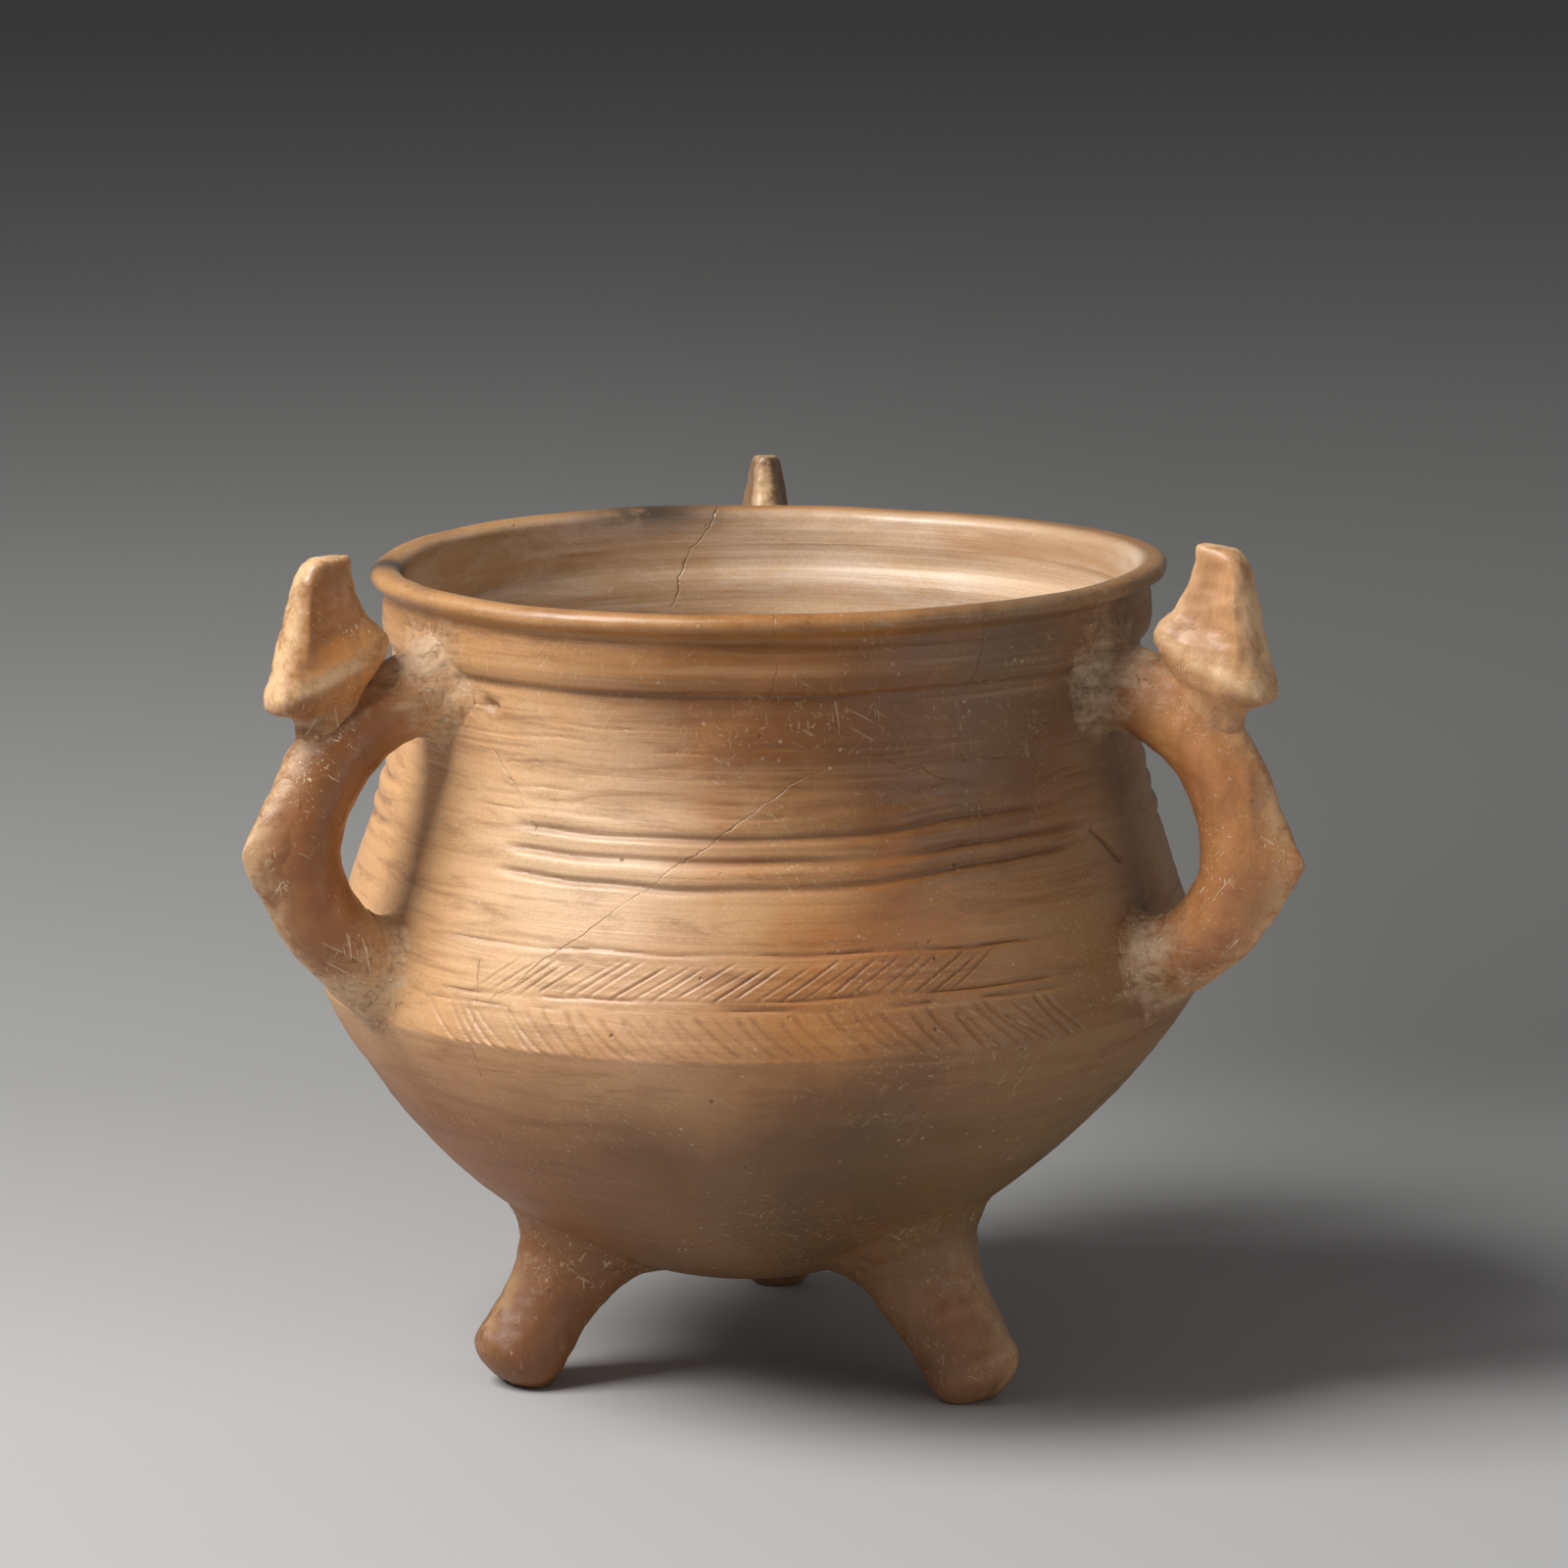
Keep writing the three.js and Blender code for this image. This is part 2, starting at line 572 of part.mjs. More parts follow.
for (let i = 0; i < HANDLE_COUNT; i += 1) {
  const side = ["back", "left", "right"][i];
  const angle = HANDLE_FIRST_ANGLE + (360 / HANDLE_COUNT) * i;
  const reach = HANDLE_REACH + HANDLE_EXTRA_REACH[i];
  const curve = handleCurve(HANDLE_EXTRA_REACH[i], HANDLE_EXTRA_BELLY[i]);
  const span = LUTING_LENGTH / curve.getLength();
  const handleWithSeam = placed(handle(curve, SEAM), angle);
  const bar = placed(handle(curve, 0), angle).subtract(potWithSeam);
  addPiece(`handle_${side}`, toGeometry(bar), CLAY.burnt, 0.55);
  const crestOut = HANDLE_REACH + HANDLE_EXTRA_REACH[i] / 2 - CREST_SETBACK;
  const crestWithSeam = placed(crest(crestOut, SEAM), angle);
  const blade = placed(crest(crestOut, 0), angle).subtract(handleWithSeam).subtract(potWithSeam);
  addPiece(`crest_${side}`, toGeometry(blade), CLAY.burnt, 0.6);
  const knob = placed(spur(curve, reach), angle).subtract(handleWithSeam);
  addPiece(`spur_${side}`, toGeometry(knob), CLAY.burnt, 0.55);
  const topRoot = crossingShare(curve, true);
  const footRoot = crossingShare(curve, false);
  const topRing = placed(handleLuting(curve, 0.001, topRoot + span), angle);
  const footRing = placed(handleLuting(curve, 0.999, footRoot - span), angle);
  addPiece(
    `top_luting_${side}`,
    toGeometry(topRing.subtract(potWithSeam).subtract(handleWithSeam).subtract(crestWithSeam)),
    CLAY.pale,
    0.8,
  );
  addPiece(
    `foot_luting_${side}`,
    toGeometry(footRing.subtract(potWithSeam).subtract(handleWithSeam)),
    CLAY.pale,
    0.8,
  );
}

// The origin is on the ground, in the middle of the box round the pot
const box = new THREE.Box3().setFromObject(group, true);
const middle = box.getCenter(new THREE.Vector3());
pieces.position.set(-middle.x, -middle.y, -box.min.z);

export default group;
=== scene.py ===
"""A round-bellied earthenware pot on three legs, with three looped handles that carry crests.

Sizes are millimetres in the pot's true form, with its axis upright. The finished pot leans, tilts
and sags a little, and every mesh is written in metres where the clay really lies.
"""

from __future__ import annotations

import logging
from dataclasses import dataclass, field
from enum import Enum, IntEnum
from functools import cached_property, partial, reduce

import bpy
import numpy as np
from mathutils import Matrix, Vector


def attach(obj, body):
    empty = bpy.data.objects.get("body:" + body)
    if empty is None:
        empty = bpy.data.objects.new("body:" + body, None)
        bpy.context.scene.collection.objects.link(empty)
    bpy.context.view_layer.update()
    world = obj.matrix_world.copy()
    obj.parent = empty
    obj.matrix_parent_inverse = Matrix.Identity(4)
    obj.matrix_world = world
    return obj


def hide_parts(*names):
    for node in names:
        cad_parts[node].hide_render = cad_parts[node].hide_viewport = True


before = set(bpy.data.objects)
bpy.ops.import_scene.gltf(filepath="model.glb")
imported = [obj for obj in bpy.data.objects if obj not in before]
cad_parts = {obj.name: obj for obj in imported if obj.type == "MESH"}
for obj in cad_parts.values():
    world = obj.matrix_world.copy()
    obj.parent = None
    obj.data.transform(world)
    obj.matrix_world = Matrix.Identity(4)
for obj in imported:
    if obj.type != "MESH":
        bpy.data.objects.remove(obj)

Array = np.ndarray
Triple = tuple[float, float, float]
Socket = bpy.types.NodeSocket
LOG = logging.getLogger("tripod_pot")
MM = 0.001
FULL_TURN = 360.0
THIRD = 120.0
KEEL_DEGREE = 2.565  # millimetres of the keel's circle in one degree
NECK_DEGREE = 2.3  # the same higher up, where the gashes lie
CREST_DISTANCE = 162.4  # from the axis to the middle of a crest
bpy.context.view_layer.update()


class Slot(Enum):
    """Material slots of the record."""

    DARK = "clay_dark"
    SUNLIT = "clay_sunlit"
    BURNT = "clay_burnt"
    PALE = "clay_pale"


class Seed(IntEnum):
    """First scatter of each kind of piece."""

    LEG = 100
    LEG_ROOT = 120
    HANDLE = 150
    SPUR = 170
    TOP_ROOT = 180
    FOOT_ROOT = 210
    CREST = 240


@dataclass(frozen=True)
class Side:
    """A third of the pot: where its leg and handle are, and how they differ from the usual."""

    name: str
    leg_degree: float
    handle_degree: float
    leg_splay: float = 0.0
    leg_thinning: float = 0.0
    handle_extra: float = 0.0
    handle_bulge: float = 0.0


SIDES = (
    Side("back", 85.5, 90.5, leg_splay=12.0, leg_thinning=4.5),
    Side("left", 203.5, 210.5, leg_splay=-2.5, leg_thinning=0.6),
    Side("right", 323.5, 330.5, leg_splay=1.5, handle_extra=3.4, handle_bulge=2.2),
)


# Curves and unevenness


def smooth(low: float, high: float, value: Array) -> Array:
    """Smooth step: 0 below low, 1 above high, and 3s2 - 2s3 of the share s between them."""
    share = np.clip((value - low) / (high - low), 0.0, 1.0)
    return share * share * (3.0 - 2.0 * share)


def eased(keys: list[float], values: list[float], at: Array) -> Array:
    """Smooth curve through values at keys that doesn't overshoot them.

    Each stretch is a cubic whose end slopes are the harmonic mean of the slopes beside them.

    Args:
        keys: Rising places of the values.
        values: What the curve is at each key.
        at: Places to read it at.

    Returns:
        The curve's value at each place.
    """
    x, y = np.asarray(keys, float), np.asarray(values, float)
    step = np.diff(x)
    rise = np.diff(y) / step
    product = rise[:-1] * rise[1:]
    total = np.where(np.abs(rise[:-1] + rise[1:]) < 1e-12, 1.0, rise[:-1] + rise[1:])
    slope = np.concatenate([[rise[0]], np.where(product > 0, 2 * product / total, 0.0), [rise[-1]]])
    at = np.clip(at, x[0], x[-1])
    i = np.clip(np.searchsorted(x, at, side="right") - 1, 0, len(step) - 1)
    t = (at - x[i]) / step[i]
    return (
        y[i] * (1 + 2 * t) * (1 - t) ** 2
        + y[i + 1] * t * t * (3 - 2 * t)
        + step[i] * (slope[i] * t * (1 - t) ** 2 - slope[i + 1] * t * t * (1 - t))
    )


def uneven(points: Array, size: tuple[float, float, float], seed: int, waves: int = 10) -> Array:
    """Smooth unevenness of about -1 to 1: a sum of sine waves in scattered directions.

    Args:
        points: Places, with x, y and z last.
        size: Length of a typical wave along x, y and z, in the points' unit.
        seed: Which scatter to use.
        waves: How many waves are added.

    Returns:
        One number for each place.
    """
    scatter = np.random.default_rng(seed)
    direction = scatter.normal(size=(waves, 3))
    direction /= np.linalg.norm(direction, axis=1, keepdims=True)
    pitch = direction / scatter.uniform(0.6, 1.7, (waves, 1)) * (2 * np.pi / np.asarray(size))
    phase = scatter.uniform(0, 2 * np.pi, waves)
    return np.sin(points @ pitch.T + phase).sum(axis=-1) * np.sqrt(2.0 / waves) * 0.6


def unit(vectors: Array) -> Array:
    """The same directions with a length of 1."""
    return vectors / np.maximum(np.linalg.norm(vectors, axis=-1, keepdims=True), 1e-9)


def bell(distance: Array, width: float) -> Array:
    """exp(-d2) of a distance over a width: 1 at 0, and fading out on both sides."""
    return np.exp(-((distance / width) ** 2))


def wrapped(value: Array, whole: float = 2 * np.pi) -> Array:
    """A value less the whole turns that bring it nearest to 0."""
    return (value + whole / 2) % whole - whole / 2


def ring(count: int, whole: float = 2 * np.pi) -> Array:
    """Angles of evenly spaced places once round."""
    return np.arange(count) * (whole / count)


def blunted(value: Array, power: float) -> Array:
    """A power of a value's size, with the value's sign."""
    return np.sign(value) * np.abs(value) ** power


def around(level: Array | float, angle: Array, height: Array) -> Array:
    """Points at a distance from the axis, an angle round it and a height."""
    return np.stack([level * np.cos(angle), level * np.sin(angle), height], axis=-1)


def turned(points: Array, degrees: float) -> Array:
    """Points turned round the axis."""
    c, s = np.cos(np.radians(degrees)), np.sin(np.radians(degrees))
    x, y = points[..., 0], points[..., 1]
    return np.stack([x * c - y * s, x * s + y * c, points[..., 2]], -1)


@dataclass(frozen=True)
class Route:
    """A curve in the upright plane through the pot's axis, read by share of its length."""

    points: Array

    @cached_property
    def lengths(self) -> Array:
        """Length of the curve up to each of its points."""
        return np.concatenate([[0.0], np.cumsum(np.linalg.norm(np.diff(self.points, axis=0), axis=1))])

    @property
    def length(self) -> float:
        """Whole length."""
        return float(self.lengths[-1])

    def at(self, share: Array) -> Array:
        """Distance from the axis and height at a share of the length."""
        along = np.asarray(share) * self.length
        return np.stack([np.interp(along, self.lengths, self.points[:, k]) for k in (0, 1)], axis=-1)

    def heading(self, share: Array) -> Array:
        """Direction of travel: from 2 % of the length before a place to 2 % after it."""
        share = np.asarray(share)
        return unit(self.at(np.clip(share + 0.02, 0, 1)) - self.at(np.clip(share - 0.02, 0, 1)))

    @classmethod
    def through(cls, stops: list[tuple[float, float]]) -> Route:
        """Curve through stops: between two, the cubic that takes each stop's slope from its neighbours."""
        p = np.asarray(stops, float)
        place = np.linspace(0, len(p) - 1, 900)
        i = np.minimum(place.astype(int), len(p) - 2)
        t = (place - i)[:, None]
        before, after = p[np.maximum(i - 1, 0)], p[np.minimum(i + 2, len(p) - 1)]
        a, b = p[i], p[i + 1]
        start, end = (b - before) / 2, (after - a) / 2
        return cls(
            (2 * a - 2 * b + start + end) * t**3
            + (-3 * a + 3 * b - 2 * start - end) * t**2
            + start * t
            + a
        )


# The true form of the pot


@dataclass(frozen=True)
class PotForm:
    """Sizes of the wall, and how the fired pot leans, tilts and sags."""

    belly_bottom: float = 30.0
    keel_height: float = 133.0
    keel_radius: float = 147.0
    belly_fullness: float = 1.17
    neck_radius: float = 123.8
    neck_height: float = 222.0
    mouth_height: float = 271.2
    shoulder_pull: float = 21.0
    shoulder_turn: float = 3.2
    neck_pull: float = 24.0
    wall: float = 7.0
    belly_seam: float = 130.0
    neck_seam: float = 176.0
    collar_seam: float = 246.0
    lip_seam: float = 263.5
    collar_heights: tuple[float, ...] = (
        222.0, 240.0, 244.6, 246.2, 249.0, 252.5, 258.0, 262.3, 263.8, 265.8, 267.6
    )
    collar_swells: tuple[float, ...] = (0.0, 0.25, 0.3, 2.1, 3.3, 3.8, 3.5, 2.8, 3.7, 6.5, 7.4)
    mouth_drift: float = 4.1
    mouth_tilt: float = 1.6
    belly_sag: float = 4.5
    origin: tuple[float, float] = (-5.18965, -23.2)

    @cached_property
    def outline(self) -> Array:
        """Outside of the wall from the middle of its underside up, as rows of radius and height.

        The belly's radius is the keel's times the root of 1 - drop ** fullness, the shoulder is a
        cubic with upright ends, and the collar swells out from the neck.
        """
        share = np.linspace(0, 1, 500)
        drop = 1 - share**2
        belly = np.stack(
            [
                self.keel_radius * np.sqrt(1 - drop**self.belly_fullness),
                self.keel_height - drop * (self.keel_height - self.belly_bottom),
            ],
            axis=-1,
        )
        t = np.linspace(0, 1, 400)[1:, None]
        knots = (
            np.array([self.keel_radius, self.keel_height]),
            np.array([self.keel_radius - self.shoulder_turn, self.keel_height + self.shoulder_pull]),
            np.array([self.neck_radius, self.neck_height - self.neck_pull]),
            np.array([self.neck_radius, self.neck_height]),
        )
        shoulder = (
            (1 - t) ** 3 * knots[0]
            + 3 * (1 - t) ** 2 * t * knots[1]
            + 3 * (1 - t) * t**2 * knots[2]
            + t**3 * knots[3]
        )
        height = np.linspace(self.neck_height, self.collar_heights[-1], 300)[1:]
        swell = eased(list(self.collar_heights), list(self.collar_swells), height)
        collar = np.stack([self.neck_radius + swell, height], axis=-1)
        return np.concatenate([belly, shoulder, collar])

    @cached_property
    def facing(self) -> Array:
        """Outward direction at each point of the outline, square to it."""
        along = unit(np.gradient(self.outline, axis=0))
        blend = np.array([0.25, 0.5, 0.25])
        turned = np.stack([along[:, 1], -along[:, 0]], axis=-1)
        soft = np.stack([np.convolve(np.pad(turned[:, k], 1, "edge"), blend, "valid") for k in (0, 1)], -1)
        return unit(soft)

    def radius(self, height: Array) -> Array:
        """Radius of the outside at a height."""
        return np.interp(height, self.outline[:, 1], self.outline[:, 0])

    def normal(self, height: Array) -> Array:
        """Outward direction of the outside at a height, as its level and its upward part."""
        return np.stack([np.interp(height, self.outline[:, 1], self.facing[:, k]) for k in (0, 1)], -1)

    def skin(self, degrees: Array, height: Array, out: Array | float) -> Array:
        """Point of the wall at an angle and a height, moved square to the wall.

        Args:
            degrees: Angle round the pot.
            height: Height in the true form.
            out: Millimetres outwards.

        Returns:
            The points, with x, y and z last.
        """
        normal = self.normal(height)
        radius = self.radius(height) + normal[..., 0] * out
        return around(radius, np.radians(degrees), height + normal[..., 1] * out)

    def outside(self, points: Array) -> Array:
        """How far points lie outside the wall, square to it."""
        height = points[..., 2]
        level = np.hypot(points[..., 0], points[..., 1])
        return (level - self.radius(height)) * np.maximum(self.normal(height)[..., 0], 0.35)

    def sag(self, height: Array) -> Array:
        """How far the belly has sunk to the left at a height: fully in its lower half, not above the keel."""
        drop = np.maximum(0.0, 1 - height / self.keel_height)
        return np.minimum(self.belly_sag, 2 * self.belly_sag * drop)

    def settle(self, points: Array, sags: bool) -> Array:
        """Where clay of the true form really lies, in metres.

        It moves sideways by the drift times its share of the height, less the belly's sag, and up by
        the tilt times the same share and its distance to the right. Nothing lies below the ground.

        Args:
            points: Points of the true form, in millimetres.
            sags: Whether the piece sags with the belly.

        Returns:
            The points of the finished pot.
        """
        x, y, z = points[..., 0], points[..., 1], points[..., 2]
        rise = z / self.mouth_height
        sag = self.sag(z) if sags else 0.0
        return MM * np.stack(
            [
                x + self.mouth_drift * rise - sag + self.origin[0],
                y + self.origin[1],
                np.maximum(z + self.mouth_tilt * rise * x / self.keel_radius, 0.0),
            ],
            axis=-1,
        )


# Marks drawn in the wet clay


@dataclass(frozen=True)
class StrokeRow:
    """A row of slanting strokes between two heights, given above or below the middle line."""

    low: float
    high: float
    spacing: float
    half_width: float
    depth: float
    ridge: float
    first_degree: float
    last_degree: float
    slope: float
    seed: int

    def cut(self, along: Array, rise: Array) -> Array:
        """Depth of the row's strokes, in millimetres.

        A stroke is a furrow whose depth is 1 - d2 of its half width, with a low ridge pushed up
        beside it. Each has its own place, lean, length and depth.

        Args:
            along: Distance round the keel, with the strokes' slant taken out.
            rise: Height above the middle line.

        Returns:
            Inward depth at each place, negative on the ridges.
        """
        scatter = np.random.default_rng(self.seed)
        count = int((self.last_degree - self.first_degree) * KEEL_DEGREE / self.spacing)
        step = scatter.uniform(0.72, 1.28, count)
        start = self.first_degree * KEEL_DEGREE + np.cumsum(step) * self.spacing
        lean = scatter.normal(0, 0.14, count)
        foot = self.low + scatter.uniform(-0.6, 0.8, count)
        head = self.high + scatter.uniform(-1.7, 0.9, count)
        strength = scatter.uniform(0.5, 1.15, count)
        after = np.clip(np.searchsorted(start, along), 1, count - 1)
        total = np.zeros(np.broadcast(along, rise).shape)
        for k in (after - 1, after):
            across = (along - start[k] - lean[k] * (rise - self.low)) * self.slope
            share = np.abs(across) / self.half_width
            furrow = np.clip(1 - share**2, 0, 1) ** 1.3
            lip = self.ridge * bell(share - 1.75, 0.6)
            begun = smooth(foot[k] - 0.2, foot[k] + 1.1, rise)
            ended = smooth(head[k] - 2.2, head[k] + 0.3, rise)
            total += self.depth * strength[k] * (furrow - lip) * (begun * (1 - ended))
        return total


@dataclass(frozen=True)
class DrawnMarks:
    """Rills, lines and herringbone strokes of one panel between two handles; all three are alike."""

    middle_degree: float = 30.5
    rill_degrees: tuple[float, ...] = (-60, -35, -12, 0, 24, 40, 60)
    rill_heights: tuple[tuple[float, ...], ...] = (
        (201.8, 201.0, 199.9, 199.9, 203.2, 204.6, 205.0),
        (194.8, 194.1, 193.3, 193.1, 194.6, 196.2, 196.6),
        (187.8, 186.6, 185.0, 184.7, 188.3, 190.4, 191.0),
    )
    rill_depths: tuple[float, ...] = (1.25, 1.35, 1.5)
    spine_heights: tuple[float, ...] = (147.4, 149.4, 151.4, 151.9, 152.5, 152.2, 152.0)
    top_heights: tuple[float, ...] = (163.2, 164.6, 165.5, 165.5, 165.2, 163.9, 163.2)
    upper: StrokeRow = StrokeRow(0.2, 11.4, 7.0, 0.52, 0.42, 0.25, -43.0, 27.0, 0.50, 11)
    lower: StrokeRow = StrokeRow(-18.6, -4.2, 5.7, 0.85, 0.5, 0.2, -49.0, 38.5, 0.70, 23)
    stroke_heights: tuple[float, float] = (128.0, 170.0)
    shear_rises: tuple[float, ...] = (-22.0, -18.5, -15.0, -11.5, -8.0, -4.5, 0.0, 11.5, 15.0, 25.0)
    shear_runs: tuple[float, ...] = (18.0, 14.5, 10.3, 6.4, 2.9, 0.2, 0.0, 19.6, 20.4, 20.6)
    scored_heights: tuple[float, ...] = (206.5, 210.8, 213.4, 217.6, 221.0, 225.8, 229.2, 233.5, 237.0)

    def panel(self, degrees: Array) -> Array:
        """Degrees from the middle of the panel that an angle falls in."""
        return wrapped(degrees - self.middle_degree, THIRD)

    def shear(self, height: Array) -> Array:
        """Degrees by which the strokes slant round the pot at a height."""
        rise = height - self.spine_heights[3]
        return np.interp(rise, self.shear_rises, self.shear_runs) / KEEL_DEGREE

    def groove(self, distance: Array, up: float, down: float) -> Array:
        """Round-bottomed furrow: a raised cosine, 1 at its line and 0 at up above it or down below it."""
        share = np.where(distance > 0, distance / up, -distance / down)
        return (np.cos(np.pi * np.clip(share, 0, 1)) + 1) / 2

    def relief(self, degrees: Array, height: Array, places: Array) -> tuple[Array, Array]:
        """How far the drawn marks move the outside, and how deep in a cut each place is.

        Args:
            degrees: Angles round the pot.
            height: Heights in the true form.
            places: The same places as points, for the unevenness.

        Returns:
            Outward movement in millimetres, and depth in a cut from 0 to 1.
        """
        at = self.panel(degrees)
        keys = list(self.rill_degrees)
        wander = uneven(places, (34.0, 34.0, 60.0), 5) * 0.45
        spine = eased(keys, list(self.spine_heights), at) + wander * 0.5
        top = eased(keys, list(self.top_heights), at) + wander * 1.1
        cut = np.zeros_like(height)
        swell = np.zeros_like(height)
        for k, (heights, depth) in enumerate(zip(self.rill_heights, self.rill_depths)):
            line = eased(keys, list(heights), at) + wander
            reach = smooth(-40.5 - k, -34.5 - k, at) * (1 - smooth(35.0 + 3 * k, 54.0, at))
            press = 0.8 + 0.3 * uneven(places, (50.0, 50.0, 200.0), 31 + k)
            cut += depth * press * reach * self.groove(height - line, 1.7, 2.5)
            swell += 0.55 * reach * bell(height - line - 4.2, 2.3)
        inside = smooth(-52.0, -46.0, at) * (1 - smooth(37.0, 45.0, at))
        skip = smooth(-0.5, 0.4, uneven(places, (26.0, 26.0, 90.0), 41))
        other = smooth(-0.6, 0.3, uneven(places, (22.0, 22.0, 90.0), 43))
        cut += 0.75 * inside * (0.55 + 0.45 * skip) * self.groove(height - top, 0.9, 1.1)
        cut += 0.7 * inside * (0.35 + 0.65 * skip) * self.groove(height - spine, 0.9, 0.9)
        cut += 0.6 * inside * other * self.groove(height - spine + 3.1 + wander * 0.8, 0.8, 1.0)
        round_keel = at * KEEL_DEGREE - self.shear(height - spine + self.spine_heights[3]) * KEEL_DEGREE
        rise = height - spine
        low, high = self.stroke_heights
        near = (height > low) & (height < high)
        strokes = np.zeros_like(height)
        for row in (self.upper, self.lower):
            strokes[near] += row.cut(round_keel[near], rise[near])
        cut += strokes
        for k, line in enumerate(self.scored_heights):
            reach = smooth(0.1, 0.7, uneven(places, (38.0, 38.0, 14.0), 60 + k))
            cut += 0.34 * reach * self.groove(height - line - wander * 1.5, 0.6, 0.9)
        return swell - cut, np.clip(cut / 0.9, 0.0, 1.0)


@dataclass(frozen=True)
class Scar:
    """A chip or gash in the outside of the wall, between two places on it."""

    start: tuple[float, float]
    end: tuple[float, float]
    half_width: float
    depth: float

    def bite(self, degrees: Array, height: Array) -> Array:
        """Share of the depth: a bell exp(-d2) across the line between the two places, round at its ends.

        Args:
            degrees: Angles round the pot.
            height: Heights in the true form.

        Returns:
            The share from 0 to 1 at each place.
        """
        a = np.array([self.start[0] * NECK_DEGREE, self.start[1]])
        b = np.array([self.end[0] * NECK_DEGREE, self.end[1]])
        length = np.linalg.norm(b - a)
        along = (b - a) / max(length, 1e-6)
        x, y = degrees * NECK_DEGREE - a[0], height - a[1]
        run = x * along[0] + y * along[1]
        past = np.maximum(0, np.maximum(-run, run - length))
        return bell(np.hypot(x * along[1] - y * along[0], past), self.half_width)


@dataclass(frozen=True)
class Crust:
    """Pale dry clay round the roots of the handles and legs, and under the crests.

    Each spot is an angle, a distance from the axis, a height, a reach and a strength.
    """

    spots: tuple[tuple[float, float, float, float, float], ...]

    def at(self, points: Array) -> Array:
        """Strongest spot at each point: its strength times exp(-d2) of the distance over its reach."""
        total = np.zeros(points.shape[:-1])
        for degrees, level, height, reach, strength in self.spots:
            far = np.linalg.norm(points - around(level, np.radians(degrees), height), axis=-1)
            total = np.maximum(total, strength * bell(far, reach))
        return total

    @classmethod
    def round_roots(cls) -> Crust:
        """The spots of this pot: at each handle's top root, foot root and crest, and at each leg's root."""
        handle = ((126.0, 243.0, 27.0, 1.0), (146.0, 150.0, 25.0, 0.95), (164.0, 231.0, 12.0, 0.8))
        spots = [(side.handle_degree, *spot) for side in SIDES for spot in handle]
        return cls((*spots, *((side.leg_degree, 72.0, 44.0, 26.0, 0.5) for side in SIDES)))


# Meshes


@dataclass
class Surface:
    """A closed surface on a grid of rows and columns, with the columns joined into rings.

    A looped surface also joins its last ring to its first, and one with poles closes its ends onto them.
    """

    points: Array
    marks: dict[str, Array] = field(default_factory=dict)
    looped: bool = False
    poles: tuple[Array | None, Array | None] = (None, None)

    def faces(self) -> tuple[Array, Array]:
        """Corners of every face.

        Returns:
            Quads between the rings, and triangles that close the ends onto their poles.
        """
        rows, columns = self.points.shape[:2]
        here = np.arange(columns)
        following = (here + 1) % columns
        low = np.arange(rows if self.looped else rows - 1)[:, None] * columns
        high = (low + columns) % (rows * columns)
        quads = np.stack([low + here, low + following, high + following, high + here], -1).reshape(-1, 4)
        fans = []
        index = rows * columns
        for end, pole in enumerate(self.poles):
            if pole is not None:
                rim = here + (rows - 1) * columns * end
                rim_next = following + (rows - 1) * columns * end
                middle = np.full(columns, index)
                fans.append(np.stack([middle, rim_next, rim] if end == 0 else [middle, rim, rim_next], -1))
                index += 1
        return quads, np.concatenate(fans) if fans else np.zeros((0, 3), int)

    def vertices(self) -> Array:
        """All points, with the poles last."""
        ends = [pole[None, :] for pole in self.poles if pole is not None]
        return np.concatenate([self.points.reshape(-1, 3), *ends])

    def values(self, name: str) -> Array:
        """One mark of every vertex, with each pole like the ring beside it."""
        grid = self.marks[name]
        ends = [
            np.array([grid[0 if end == 0 else -1].mean()])
            for end, pole in enumerate(self.poles)
            if pole is not None
        ]
        return np.concatenate([grid.reshape(-1), *ends])

    def roughened(self, seed: int, *waves: tuple[float, float]) -> Surface:
        """The same surface pushed in and out along its own normals by smooth unevenness.

        Args:
            seed: Scatter of the first kind of wave; each other kind has the one after.
            waves: Millimetres at the tops of each kind of wave, and its typical length.

        Returns:
            The rougher surface.
        """
        points = self.points
        for k, (amount, size) in enumerate(waves):
            across = np.roll(points, -1, axis=1) - np.roll(points, 1, axis=1)
            normal = unit(np.cross(across, np.gradient(points, axis=0)))
            points = points + normal * (uneven(points, (size, size, size), seed + k) * amount)[..., None]
        return Surface(points, self.marks, self.looped, self.poles)


def new_object(name: str, data: bpy.types.ID) -> bpy.types.Object:
    """An object of the scene."""
    made = bpy.data.objects.new(name, data)
    bpy.context.scene.collection.objects.link(made)
    return made


